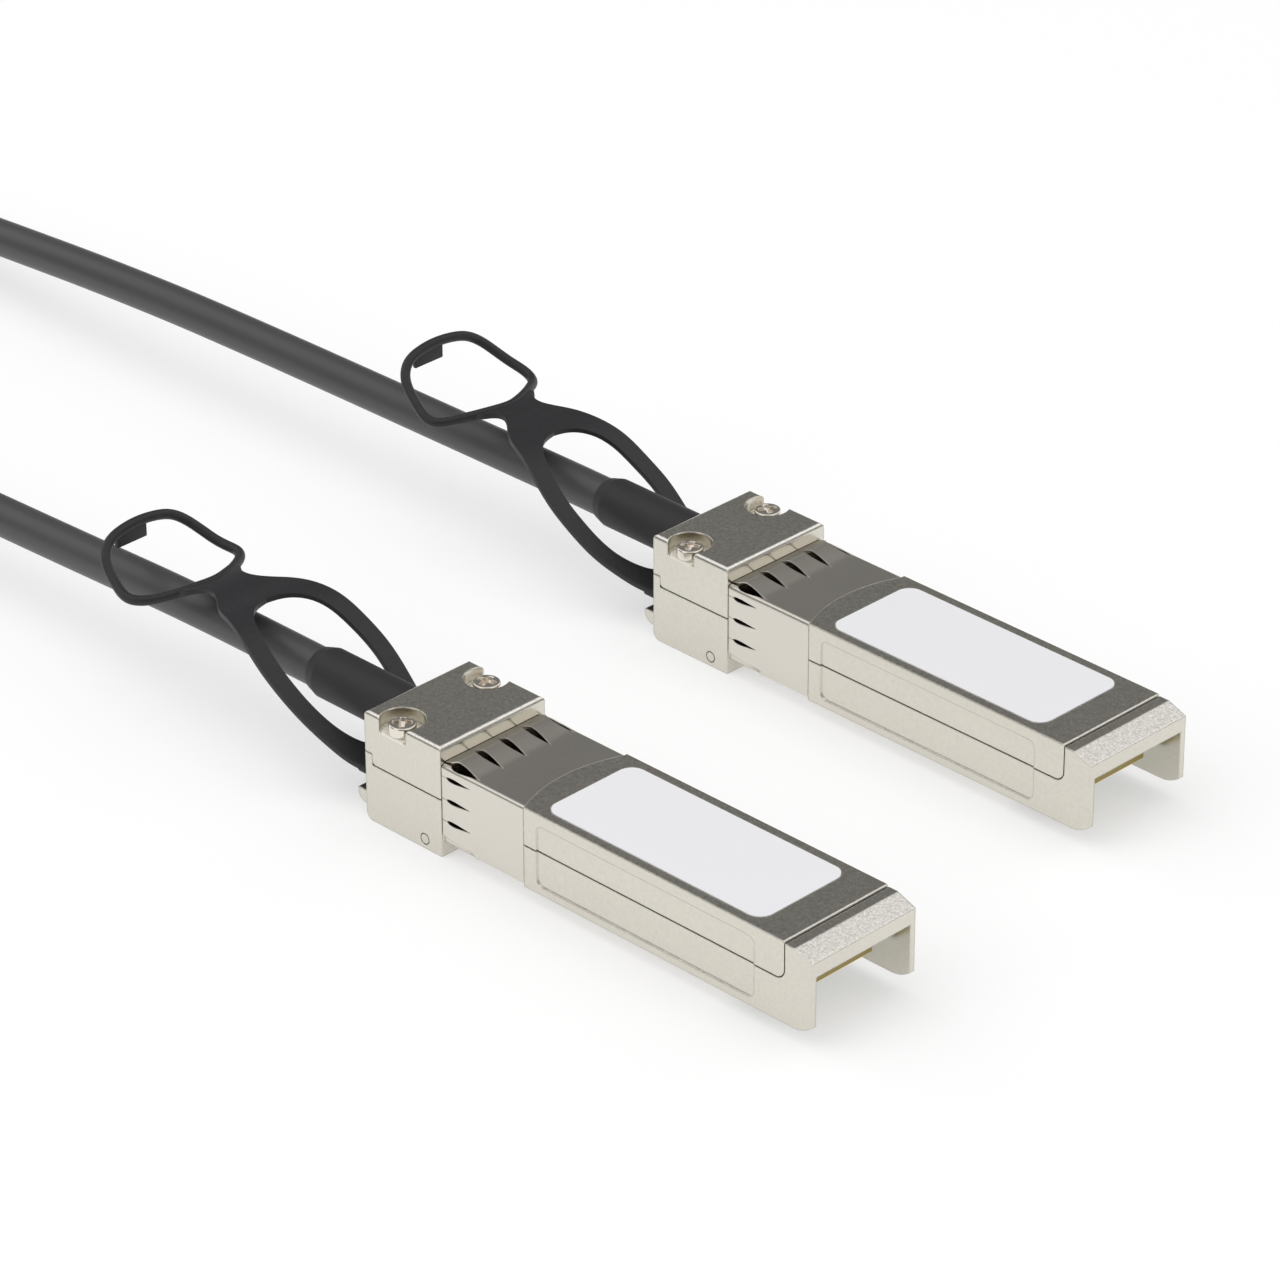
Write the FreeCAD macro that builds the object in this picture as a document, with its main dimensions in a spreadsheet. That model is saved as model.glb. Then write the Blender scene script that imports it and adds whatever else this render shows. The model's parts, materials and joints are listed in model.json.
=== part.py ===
import FreeCAD, Part
import math
import os
import re

import Sketcher
from FreeCAD import Placement, Rotation, Vector

# A direct attach copper cable: one twinax cable with a pluggable module ("plug") fixed on each end.
# Millimetres. In a plug's own frame X runs along the module toward its nose, Y across it and Z up.
# Its X = 0 is the stop shoulder, the front face of the backshell, which lands on the cage's bezel.
# Its Z = 0 is the underside of the module. The backshell hangs below that and stands on the table.

SIZES = [
    # The module that goes into a cage.
    ("module_width", 13.55), ("module_height", 8.55), ("module_length", 47.5),
    ("seam_height", 4.5), ("seam_gap", 0.1), ("floor_wall", 1.0), ("roof_wall", 0.9),
    ("cover_setback", 3.4), ("cover_corner", 1.0), ("cover_edge", 0.2), ("cover_bow", 1.4),
    ("recess_start", 12.6), ("recess_setback", 7.1), ("recess_bottom", 0.85), ("recess_top", 7.3),
    ("recess_depth", 0.15), ("recess_corner", 0.8),
    # The nose, whose top bar joins two legs over an opening in the underside.
    ("nose_top", 8.35), ("nose_slope", 2.2), ("nose_front_top", 7.55), ("nose_bar_bottom", 6.0),
    ("nose_leg", 0.6), ("nose_opening", 10.4), ("nose_lift", 0.85), ("nose_lift_length", 2.2),
    # The backshell outside the cage, and the neck that joins it to the module.
    ("backshell_length", 10.3), ("backshell_width", 13.7), ("backshell_top", 10.3), ("backshell_drop", 1.5),
    ("backshell_seam", 4.75), ("step_height", 5.9), ("step_length", 0.9), ("backshell_round", 0.45),
    ("backshell_heel", 0.9), ("chin_length", 1.9), ("chin_bottom", -0.5), ("chin_top", 0.9), ("chin_round", 1.1),
    ("chin_inset", 0.7),
    ("neck_length", 11.0), ("neck_inset", 0.2),
    # The two screws.
    ("screw_setback", 6.5), ("screw_offset", 5.5), ("counterbore", 4.5), ("counterbore_depth", 1.45),
    ("screw_head", 2.7), ("screw_head_height", 1.2), ("screw_shank", 1.4), ("screw_length", 6.0),
    # The spring collar round the neck.
    ("collar_start", 0.7), ("collar_sheet", 0.15), ("collar_lift", 0.35), ("finger_end", 4.2),
    ("finger_slot", 0.5), ("top_slot", 0.9), ("top_finger_pitch", 3.1), ("side_finger_pitch", 2.33),
    ("collar_cut", 0.55), ("collar_notch", 1.0), ("collar_corner", 0.4), ("finger_groove", 0.35),
    # The board inside.
    ("board_width", 9.2), ("board_sheet", 1.0), ("board_height", 2.55), ("board_setback", 3.2),
    ("board_start", 1.5), ("board_clearance", 0.05), ("ledge_width", 8.0),
    ("pad_count", 10), ("pad_pitch", 0.8), ("pad_width", 0.5), ("pad_length", 2.4), ("pad_sheet", 0.05),
    ("pad_land", 0.4), ("chip_length", 4.0), ("chip_width", 3.0), ("chip_height", 1.0), ("chip_place", 22.0),
    # The cable and what ends it.
    ("cable_diameter", 4.1), ("cable_height", 6.7), ("sleeve_diameter", 5.2), ("sleeve_reach", 13.4),
    ("sleeve_taper", 1.2), ("sleeve_inside", 1.5), ("ferrule_length", 4.0), ("ferrule_diameter", 5.0),
    ("pair_width", 2.2), ("pair_sheet", 1.3), ("pair_spacing", 2.5), ("cavity_width", 6.4),
    # The latch: a slide pulled by the tab, which tips a lever with the latch boss on it.
    ("boss_place", 2.5), ("boss_length", 2.6), ("boss_height", 0.45), ("boss_width", 2.6),
    ("lever_width", 3.0), ("lever_rear", 7.0), ("lever_top", 0.5), ("lever_drop", 1.15), ("lever_sheet", 0.55),
    ("lever_ramp", 0.5), ("pin_place", 2.3), ("pin_height", -0.45), ("pin_diameter", 1.2),
    ("running_fit", 0.04), ("slide_width", 6.0), ("slide_sheet", 0.5), ("slide_front", 3.3),
    ("slide_floor", 1.3), ("slide_lift", 0.05), ("tongue_place", 4.0), ("tongue_length", 0.6), ("tongue_width", 1.8),
    ("stroke", 2.5), ("channel_clearance", 0.15), ("lever_rise", 1.6), ("spring_sheet", 0.12),
    ("spring_width", 2.0), ("spring_start", 0.4), ("spring_end", 4.4),
    # The label on the cover.
    ("label_start", 12.7), ("label_setback", 7.3), ("label_width", 11.4), ("label_corner", 1.5),
    ("label_sheet", 0.12), ("label_seat", 0.06),
    # The pull tab, moulded flat and bent about Y.
    ("tab_sheet", 0.55), ("tab_bead", 1.05), ("tab_base_length", 2.6), ("tab_base_width", 8.8),
    ("tab_base_sheet", 1.2), ("tab_gap", 1.4), ("tongue_drop", 1.8), ("tongue_sheet", 0.45),
    # Where the second plug lies from the first, and the put-away coil.
    ("second_plug_x", -5.0), ("second_plug_y", 43.8), ("second_plug_turn", -0.5),
    ("coil_x", -190.0), ("coil_radius", 24.6), ("coil_layers", 2.0),
]

document = FreeCAD.newDocument("direct_attach_cable")
sheet = document.addObject("Spreadsheet::Sheet", "sizes")
for row, (alias, size) in enumerate(SIZES, start=1):
    sheet.set("A%d" % row, alias)
    sheet.set("B%d" % row, repr(size))
    sheet.setAlias("B%d" % row, alias)
document.recompute()
NAMES = re.compile(r"\b(%s)\b" % "|".join(alias for alias, size in SIZES))
FAR = 60.0      # longer than any plug, for cuts that run right out of a piece


def size(alias):
    """The number that the sheet holds under this alias."""
    return float(sheet.get(alias))


def bind(item, prop, formula):
    """Ties a property to a formula written in the sheet's aliases."""
    item.setExpression(prop, NAMES.sub(r"sizes.\1", formula))


def new_body(node):
    body = document.addObject("PartDesign::Body", node)
    body.Label = node
    return body


def origin_plane(body, role):
    return [item for item in body.Origin.OriginFeatures if item.Role == role][0]


def block(body, x, y, z, cut=False):
    """A box from x[0] to x[1] and so on, each end a formula; with cut it is taken away."""
    kind = "PartDesign::SubtractiveBox" if cut else "PartDesign::AdditiveBox"
    box = body.newObject(kind, "box")
    for prop, side, (low, high) in (("Length", "x", x), ("Width", "y", y), ("Height", "z", z)):
        bind(box, prop, "(%s) - (%s)" % (high, low))
        bind(box, "Placement.Base.%s" % side, low)
    return box


def across(width):
    """The two ends of a width that is centred on the plug."""
    return ("-(%s)/2" % width, "(%s)/2" % width)


def drum(body, diameter, base, length, axis, cut=False):
    """A cylinder from base along an axis, its sizes and base as formulas."""
    kind = "PartDesign::SubtractiveCylinder" if cut else "PartDesign::AdditiveCylinder"
    item = body.newObject(kind, "drum")
    bind(item, "Radius", "(%s)/2" % diameter)
    bind(item, "Height", length)
    item.Placement = Placement(Vector(), Rotation(Vector(0, 0, 1), axis))
    for side, formula in zip("xyz", base):
        bind(item, "Placement.Base.%s" % side, formula)
    return item


def outline(body, role, points, offset="0"):
    """A closed sketch of straight lines through points given as pairs of formulas."""
    sketch = body.newObject("Sketcher::SketchObject", "outline")
    sketch.AttachmentSupport = [(origin_plane(body, role), "")]
    sketch.MapMode = "FlatFace"
    bind(sketch, "AttachmentOffset.Base.z", offset)
    count = len(points)
    for number in range(count):
        turn = 2 * math.pi * number / count
        ahead = 2 * math.pi * (number + 1) / count
        start = Vector(9 * math.cos(turn), 9 * math.sin(turn), 0)
        end = Vector(9 * math.cos(ahead), 9 * math.sin(ahead), 0)
        sketch.addGeometry(Part.LineSegment(start, end), False)
    for number in range(count):
        sketch.addConstraint(Sketcher.Constraint("Coincident", number, 2, (number + 1) % count, 1))
    for number, pair in enumerate(points):
        for kind, formula in zip(("DistanceX", "DistanceY"), pair):
            index = sketch.addConstraint(Sketcher.Constraint(kind, -1, 1, number, 1, 1.0))
            bind(sketch, "Constraints[%d]" % index, formula)
    return sketch


def extrude(body, sketch, length, cut=False, both=False, reverse=False):
    """Pads a sketch, or pockets it with cut, to one side or evenly to both."""
    item = body.newObject("PartDesign::Pocket" if cut else "PartDesign::Pad", "extrude")
    item.Profile = sketch
    bind(item, "Length", length)
    item.SideType = "Symmetric" if both else "One side"
    item.Reversed = reverse
    return item


def round_edges(body, radius, wanted, kind="PartDesign::Fillet"):
    """Rounds the edges of the body that the test picks out."""
    document.recompute()
    base = body.Tip
    edges = ["Edge%d" % number for number, edge in enumerate(base.Shape.Edges, start=1) if wanted(edge)]
    if not edges:
        raise ValueError("no edge to round on " + body.Label)
    item = body.newObject(kind, "rounding")
    item.Base = (base, edges)
    bind(item, "Radius" if kind.endswith("Fillet") else "Size", radius)
    return item


def runs_along(edge, axis, tolerance=1e-4):
    """True for a straight edge parallel to the axis."""
    if edge.Curve.TypeId != "Part::GeomLine":
        return False
    span = edge.Vertexes[-1].Point - edge.Vertexes[0].Point
    return abs(abs(span.normalize().dot(axis)) - 1) < tolerance


def near(value, target, tolerance=0.02):
    return abs(value - target) < tolerance


X_AXIS, Y_AXIS, Z_AXIS = Vector(1, 0, 0), Vector(0, 1, 0), Vector(0, 0, 1)
MODULE_Y = across("module_width")
NECK_Y = across("module_width - 2*neck_inset")
BACKSHELL_Y = across("backshell_width")
COVER_FRONT = "module_length - cover_setback"
SCREW_SEAT = "backshell_top - counterbore_depth"


def side_recesses(body, bottom, top):
    """The shallow panel sunk in both flanks of the module, from bottom to top."""
    for flank in (("-FAR", "-module_width/2 + recess_depth"), ("module_width/2 - recess_depth", "FAR")):
        y = tuple(end.replace("FAR", "(%g)" % FAR) for end in flank)
        block(body, ("recess_start", "module_length - recess_setback"), y, (bottom, top), cut=True)


def recess_corners(edge):
    """The short upright-to-level corners of a side recess, which run across the module."""
    box = edge.BoundBox
    depth = size("recess_depth")
    at_end = near(box.XMin, size("recess_start")) or near(box.XMin, size("module_length") - size("recess_setback"))
    at_rim = near(box.ZMin, size("recess_bottom")) or near(box.ZMin, size("recess_top"))
    return runs_along(edge, Y_AXIS) and near(edge.Length, depth) and at_end and at_rim


def make_bottom_shell(node):
    """The lower casting: module floor and flanks, nose, neck, and the backshell's lower half."""
    body = new_body(node)
    module_top = "seam_height - seam_gap/2"
    block(body, ("neck_length", "module_length"), MODULE_Y, ("0", module_top))
    block(body, ("-1", "neck_length + 1"), NECK_Y, ("neck_inset", module_top))
    shell_top = "backshell_seam - seam_gap/2"
    block(body, ("-backshell_length", "0"), BACKSHELL_Y, ("-backshell_drop", shell_top))
    block(body, ("-backshell_length", "-backshell_length + step_length"), BACKSHELL_Y,
          ("0", "step_height - seam_gap/2"))
    block(body, ("-backshell_length - chin_length", "-backshell_length + 1"),
          across("backshell_width - 2*chin_inset"), ("chin_bottom", "chin_top"))
    rear = COVER_FRONT + " + seam_gap"
    nose = outline(body, "XZ_Plane", [
        (rear, "seam_height - 1"), (rear, "nose_top"), ("module_length - nose_slope", "nose_top"),
        ("module_length", "nose_front_top"), ("module_length", "seam_height - 1")])
    extrude(body, nose, "module_width", both=True)
    side_recesses(body, "recess_bottom", "%g" % FAR)
    finger_groove(body)
    # The legs curve up toward the front, as a parabola.
    parts = [step / 4 for step in range(5)]
    curve = [("module_length - %g*nose_lift_length" % (1 - part), "%g*nose_lift" % part ** 2) for part in parts]
    under = outline(body, "XZ_Plane", curve + [
        ("module_length + 1", "nose_lift"), ("module_length + 1", "-1"),
        ("module_length - nose_lift_length", "-1")])
    extrude(body, under, "2*module_width", cut=True, both=True)

    # The inside of the module: a bay for the board's underside, and above it the board's own width.
    bay_start = "boss_place + boss_length + 2*channel_clearance + floor_wall"
    bay_end = "module_length - nose_opening"
    block(body, (bay_start, bay_end + " + 1"), across("ledge_width"), ("floor_wall", "%g" % FAR), cut=True)
    block(body, ("board_start - board_clearance", bay_end + " + 1"),
          across("board_width + 2*board_clearance"), ("board_height", "%g" % FAR), cut=True)
    # The opening between the nose legs, up to the bar.
    block(body, (bay_end, "%g" % FAR), across("module_width - 2*nose_leg"), ("-1", "nose_bar_bottom"), cut=True)
    # The well of the backshell where the cable's pairs fan out, and the cable's way in.
    block(body, ("-backshell_length + sleeve_inside + ferrule_length", "board_start + 1"),
          across("cavity_width"), ("board_height + board_sheet", "%g" % FAR), cut=True)
    cable_way(body, up=True)
    # The channels of the slide and of the lever, and the slot that joins them.
    half_slide = across("slide_width + 2*channel_clearance")
    block(body, ("-%g" % FAR, "-slide_front + channel_clearance"), half_slide,
          ("slide_floor", "slide_floor + slide_sheet + 2*slide_lift"), cut=True)
    half_lever = across("lever_width + 2*channel_clearance")
    lever_front = "boss_place + boss_length + 2*channel_clearance"
    block(body, ("-lever_rear - 2*channel_clearance", lever_front), half_lever,
          ("-backshell_drop - 1", "lever_top + 2*channel_clearance"), cut=True)
    block(body, ("-pin_place + pin_diameter", lever_front), half_lever, ("-1", "lever_rise"), cut=True)
    block(body, ("-lever_rear - 2*channel_clearance", "-tongue_place + channel_clearance"),
          across("tongue_width + 2*channel_clearance"), ("0", "slide_floor + slide_lift"), cut=True)
    drum(body, "pin_diameter", ("-pin_place", "-%g" % FAR, "pin_height"), "%g" % (2 * FAR), Y_AXIS, cut=True)
    for side in ("-", ""):
        drum(body, "screw_shank", ("-screw_setback", side + "screw_offset", SCREW_SEAT + " - screw_length - 0.3"),
             "%g" % FAR, Z_AXIS, cut=True)

    drop, length = -size("backshell_drop"), size("backshell_length")
    round_edges(body, "backshell_heel", lambda edge: runs_along(edge, Y_AXIS)
                and near(edge.BoundBox.ZMin, drop) and near(edge.BoundBox.XMin, -length)
                and edge.Length > size("backshell_width") - 1)
    round_edges(body, "chin_round", lambda edge: runs_along(edge, Y_AXIS)
                and near(edge.BoundBox.XMin, -length - size("chin_length"))
                and near(edge.BoundBox.ZMin, size("chin_bottom")))
    front = size("module_length") - size("cover_setback") + size("seam_gap")
    seam = size("seam_height") - size("seam_gap") / 2
    round_edges(body, "cover_corner + seam_gap", lambda edge: runs_along(edge, Y_AXIS)
                and near(edge.BoundBox.XMin, front) and near(edge.BoundBox.ZMin, seam))
    round_edges(body, "recess_corner", recess_corners)
    return body


def finger_groove(body):
    """The groove round the neck that the collar's fingers can be pressed into."""
    x = ("0", "finger_end - 0.3")
    inner = "module_width/2 - neck_inset - finger_groove"
    for flank in (("-%g" % FAR, "-(%s)" % inner), (inner, "%g" % FAR)):
        block(body, x, flank, ("collar_cut + collar_notch/2", "%g" % FAR), cut=True)


def bow_line(clearance):
    """The cover's raised rear edge, a parabola that reaches back over the neck between the flanks."""
    half = "(module_width/2 - collar_corner)"
    parts = [step / 4 for step in range(-4, 5)]
    curve = [("neck_length - %s - %g*cover_bow" % (clearance, 1 - part ** 2), "(%g)*%s" % (part, half))
             for part in parts]
    return curve + [("neck_length + 1", half), ("neck_length + 1", "-" + half)]


def cable_way(body, up):
    """The round way of the sleeve and ferrule through the rear wall, open toward the seam."""
    start = "-%g" % FAR
    length = "%g - backshell_length + sleeve_inside + ferrule_length" % FAR
    drum(body, "sleeve_diameter", (start, "0", "cable_height"), length, X_AXIS, cut=True)
    z = ("cable_height", "%g" % FAR) if up else ("cable_height - %g" % FAR, "cable_height")
    block(body, (start, "-backshell_length + sleeve_inside + ferrule_length"), across("sleeve_diameter"), z,
          cut=True)


def make_top_shell(node):
    """The upper casting: the module's cover, the neck, and the backshell's upper half."""
    body = new_body(node)
    cover_low = "seam_height + seam_gap/2"
    block(body, ("neck_length", COVER_FRONT), MODULE_Y, (cover_low, "module_height"))
    block(body, ("0", "neck_length + 1"), NECK_Y, (cover_low, "module_height - neck_inset"))
    finger_groove(body)
    groove_floor = "module_height - neck_inset - finger_groove"
    block(body, ("0", "finger_end - 0.3"), NECK_Y, (groove_floor, "%g" % FAR), cut=True)
    raised = outline(body, "XY_Plane", bow_line("0"), offset="module_height - 1.5*neck_inset")
    extrude(body, raised, "1.5*neck_inset")
    block(body, ("-backshell_length", "0"), BACKSHELL_Y, ("backshell_seam + seam_gap/2", "backshell_top"))
    side_recesses(body, "-1", "recess_top")
    # Room inside for the board and the chip, the pairs, and the cable's way in.
    block(body, ("board_start - board_clearance", "%g" % FAR), across("board_width + 2*board_clearance"),
          ("0", "module_height - roof_wall"), cut=True)
    block(body, ("-backshell_length + sleeve_inside + ferrule_length", "board_start + 1"),
          across("cavity_width"), ("0", "module_height - roof_wall"), cut=True)
    block(body, ("-%g" % FAR, "-backshell_length + step_length + seam_gap/2"), across("%g" % FAR),
          ("0", "step_height + seam_gap/2"), cut=True)
    cable_way(body, up=False)
    # The label's seat, and the counterbores and holes of the screws, which break out at the flanks.
    block(body, ("label_start - label_seat", "module_length - label_setback + label_seat"), across("label_width + 2*label_seat"),
          ("module_height - label_seat", "%g" % FAR), cut=True)
    for side in ("-", ""):
        place = ("-screw_setback", side + "screw_offset")
        drum(body, "counterbore", place + (SCREW_SEAT,), "%g" % FAR, Z_AXIS, cut=True)
        drum(body, "screw_shank", place + ("0",), "%g" % FAR, Z_AXIS, cut=True)

    front = size("module_length") - size("cover_setback")
    low, high = size("seam_height") + size("seam_gap") / 2, size("module_height")
    round_edges(body, "cover_corner", lambda edge: runs_along(edge, Y_AXIS)
                and near(edge.BoundBox.XMin, front) and near(edge.BoundBox.ZMin, low))
    round_edges(body, "cover_edge", lambda edge: runs_along(edge, Y_AXIS)
                and near(edge.BoundBox.XMin, front) and near(edge.BoundBox.ZMin, high))
    top, half, length = size("backshell_top"), size("backshell_width") / 2, size("backshell_length")
    round_edges(body, "backshell_round", lambda edge: near(edge.BoundBox.ZMin, top)
                and (runs_along(edge, X_AXIS) and near(abs(edge.BoundBox.YMin), half)
                     or runs_along(edge, Y_AXIS) and near(edge.BoundBox.XMin, 0)
                     or runs_along(edge, Y_AXIS) and near(edge.BoundBox.XMin, -length)))
    step = -length + size("step_length") + size("seam_gap") / 2
    step_low = size("backshell_seam") + size("seam_gap") / 2
    round_edges(body, "backshell_round", lambda edge: runs_along(edge, Y_AXIS)
                and near(edge.BoundBox.XMin, step) and near(edge.BoundBox.ZMin, step_low))
    seat = size("module_height") - size("label_seat")
    round_edges(body, "label_corner + label_seat", lambda edge: runs_along(edge, Z_AXIS)
                and near(edge.BoundBox.ZMin, seat) and near(edge.Length, size("label_seat")))
    round_edges(body, "recess_corner", recess_corners)
    return body


def finger_line(high):
    """The section of a spring finger: flush at its root, rising to a bow, and bent in at its free end."""
    sheet_in = "%s - collar_sheet" % high
    return [("finger_end + 0.2", sheet_in), ("finger_end + 0.2", high),
            ("finger_end - 0.2", high), ("collar_start + 1.3", "%s + collar_lift" % high),
            ("collar_start + 0.6", "%s + collar_lift" % high),
            ("collar_start", "%s + 0.05" % high), ("collar_start", "%s + 0.05 - collar_sheet" % high),
            ("collar_start + 0.6", "%s + collar_lift - collar_sheet" % high),
            ("collar_start + 1.3", "%s + collar_lift - collar_sheet" % high),
            ("finger_end - 0.2", sheet_in)]


def make_emi_collar(node):
    """The folded spring collar: a band round the neck with fingers that press on the cage's mouth."""
    body = new_body(node)
    outer_half = "module_width/2 - neck_inset + collar_sheet"
    top = "module_height - neck_inset + collar_sheet"
    bottom = "neck_inset - collar_sheet"
    outer_y = ("-(%s)" % outer_half, outer_half)
    block(body, ("finger_end", "neck_length - 0.1"), outer_y, (bottom, top))
    block(body, ("-1", "%g" % FAR), NECK_Y, ("neck_inset", "module_height - neck_inset"), cut=True)
    # Top fingers in one bowed strip, then side fingers in another on each flank.
    top_strip = outline(body, "XZ_Plane", finger_line("(%s)" % top))
    extrude(body, top_strip, "2*(%s) - 2*collar_corner" % outer_half, both=True)
    for sign in ("", "-"):
        flank = [(x, "%s(%s)" % (sign, y)) for x, y in finger_line("(%s)" % outer_half)]
        strip = outline(body, "XY_Plane", flank, offset="collar_cut + collar_notch/2")
        extrude(body, strip, "(%s) - collar_cut - collar_notch/2" % top)
    # The underside is open for the latch, and its edge steps up beside the backshell.
    block(body, ("-1", "finger_end + 2*collar_notch"), across("lever_width + 1"),
          ("-1", "neck_inset + 0.1"), cut=True)
    over = outline(body, "XY_Plane", bow_line("seam_gap"), offset="module_height/2 + 2")
    extrude(body, over, "%g" % FAR, cut=True, reverse=True)
    # Slots that taper forward: three in the top, one along each of its ends, and three on each flank.
    edge = "(%s - collar_corner)" % outer_half
    slots = [("%g*top_finger_pitch - top_slot/2" % number, "%g*top_finger_pitch" % number,
              "%g*top_finger_pitch + top_slot/2" % number) for number in (-1, 0, 1)]
    slots += [(edge + " - top_slot", edge, edge + " + 0.1"), ("-%s - 0.1" % edge, "-" + edge, "-%s + top_slot" % edge)]
    for low, tip, high in slots:
        sketch = outline(body, "XY_Plane", [
            ("collar_start - 0.1", low), ("finger_end - 0.1", tip), ("collar_start - 0.1", high)],
            offset="module_height/2 + 2")
        extrude(body, sketch, "%g" % FAR, cut=True, reverse=True)
    for number in (-1, 0, 1):
        middle = "(module_height + collar_cut)/2 + %g*side_finger_pitch" % number
        sketch = outline(body, "XZ_Plane", [
            ("collar_start - 0.1", "%s - finger_slot/2" % middle), ("finger_end - 0.1", middle),
            ("collar_start - 0.1", "%s + finger_slot/2" % middle)])
        extrude(body, sketch, "%g" % (2 * FAR), cut=True, both=True)
    return body


def make_paddle_card(node):
    body = new_body(node)
    block(body, ("board_start", "module_length - board_setback"), across("board_width"),
          ("board_height", "board_height + board_sheet"))
    return body


def make_contact_pads(node, above):
    """The row of gold edge contacts on one face of the board, joined by the plating tie at its edge."""
    body = new_body(node)
    low = "board_height + board_sheet" if above else "board_height - pad_sheet"
    z = (low, "%s + pad_sheet" % low)
    edge = "module_length - board_setback"
    count = int(size("pad_count"))
    block(body, (edge + " - pad_land/2", edge), across("(pad_count - 1)*pad_pitch + pad_width"), z)
    for number in range(count):
        middle = "(%g)*pad_pitch" % (number - (count - 1) / 2)
        block(body, (edge + " - pad_land - pad_length", edge + " - pad_land/4"),
              (middle + " - pad_width/2", middle + " + pad_width/2"), z)
    return body


def make_memory_chip(node):
    """The small memory that tells the host what is plugged in."""
    body = new_body(node)
    block(body, ("chip_place", "chip_place + chip_length"), across("chip_width"),
          ("board_height + board_sheet", "board_height + board_sheet + chip_height"))
    round_edges(body, "chip_height/8", lambda edge: near(
        edge.BoundBox.ZMin, size("board_height") + size("board_sheet") + size("chip_height")), "PartDesign::Chamfer")
    return body


def make_twinax_pair(node, side):
    """One shielded pair from the ferrule down to the rear edge of the board."""
    body = new_body(node)
    front = "board_start + pad_length"
    rear = "-backshell_length + sleeve_inside + ferrule_length"
    board_top = "board_height + board_sheet"
    path = outline(body, "XZ_Plane", [
        (rear, "cable_height - pair_sheet/2"), (rear, "cable_height + pair_sheet/2"),
        (rear + " + pair_sheet/2", "cable_height + pair_sheet/2"),
        ("board_start - board_clearance", board_top + " + 1.6*pair_sheet"),
        (front, board_top + " + pair_sheet"), (front, board_top), ("board_start", board_top),
        (rear + " + pair_sheet/2", "cable_height - pair_sheet/2")], offset="%g*pair_spacing/2" % side)
    extrude(body, path, "pair_width", both=True)
    return body


def make_ferrule(node):
    """The crimped metal ring that grips the cable's braid inside the backshell."""
    body = new_body(node)
    start = "-backshell_length + sleeve_inside"
    drum(body, "ferrule_diameter", (start, "0", "cable_height"), "ferrule_length", X_AXIS)
    drum(body, "cable_diameter", ("-%g" % FAR, "0", "cable_height"), "%g" % (2 * FAR), X_AXIS, cut=True)
    return body


def make_sleeve(node):
    """The heat-shrink sleeve over the cable's last stretch, tapering down at its open end."""
    body = new_body(node)
    rear = "-backshell_length - sleeve_reach"
    front = "-backshell_length + sleeve_inside"
    section = outline(body, "XZ_Plane", [
        (rear, "cable_height + cable_diameter/2"), (rear, "cable_height + cable_diameter/2 + 0.2"),
        (rear + " + sleeve_taper", "cable_height + sleeve_diameter/2"),
        (front, "cable_height + sleeve_diameter/2"), (front, "cable_height + cable_diameter/2")])
    turn = body.newObject("PartDesign::Revolution", "turn")
    turn.Profile = section
    line = body.newObject("PartDesign::Line", "axis")
    line.Placement = Placement(Vector(0, 0, 0), Rotation(Z_AXIS, X_AXIS))
    bind(line, "Placement.Base.z", "cable_height")
    turn.ReferenceAxis = (line, [""])
    turn.Angle = 360
    return body


def make_slide(node):
    """The stamped slide: a plate in the backshell's floor, with a tongue that presses on the lever."""
    body = new_body(node)
    low = "slide_floor + slide_lift"
    high = "slide_floor + slide_lift + slide_sheet"
    block(body, ("-backshell_length - tab_gap - tab_base_length + 0.6", "-slide_front"), across("slide_width"),
          (low, high))
    block(body, ("-tongue_place - tongue_length", "-tongue_place"), across("tongue_width"),
          ("lever_top + 0.06", high))
    return body


def make_lever(node):
    """The rocking lever: the slide presses on its rear arm, and its front arm carries the latch boss."""
    body = new_body(node)
    front = "boss_place + boss_length"
    section = outline(body, "XZ_Plane", [
        ("-lever_rear", "-lever_drop/4"), ("-lever_rear", "lever_top"),
        ("-pin_place + pin_diameter/2", "lever_top"),
        ("0.3", "channel_clearance + lever_sheet"), (front, "channel_clearance + lever_sheet"),
        (front, "channel_clearance"), ("0.2", "channel_clearance"), ("-pin_place + pin_diameter", "-0.95"),
        ("-pin_place + pin_diameter/2", "-lever_drop"), ("-pin_place - pin_diameter/2", "-lever_drop")])
    extrude(body, section, "lever_width", both=True)
    # The ramp under the slide's tongue. It steepens rearward, as the lever tips while the tongue goes back.
    bend_place = "-tongue_place - tongue_length - stroke/2"
    ramp = outline(body, "XZ_Plane", [
        ("-tongue_place", "0"), ("-tongue_place", "lever_top"), (bend_place, "lever_top + 0.35*lever_ramp"),
        ("-lever_rear", "lever_top + lever_ramp"), ("-lever_rear", "0")])
    extrude(body, ramp, "tongue_width - channel_clearance", both=True)
    boss = outline(body, "XZ_Plane", [
        ("boss_place", "channel_clearance + 0.1"), (front, "channel_clearance + 0.1"), (front, "0.05"),
        ("boss_place + boss_length*0.6", "-boss_height"), ("boss_place", "-boss_height")])
    extrude(body, boss, "boss_width", both=True)
    drum(body, "pin_diameter + 2*running_fit", ("-pin_place", "-%g" % FAR, "pin_height"),
         "%g" % (2 * FAR), Y_AXIS, cut=True)
    return body


def make_pin(node):
    body = new_body(node)
    drum(body, "pin_diameter", ("-pin_place", "-backshell_width/2", "pin_height"), "backshell_width", Y_AXIS)
    return body


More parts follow.
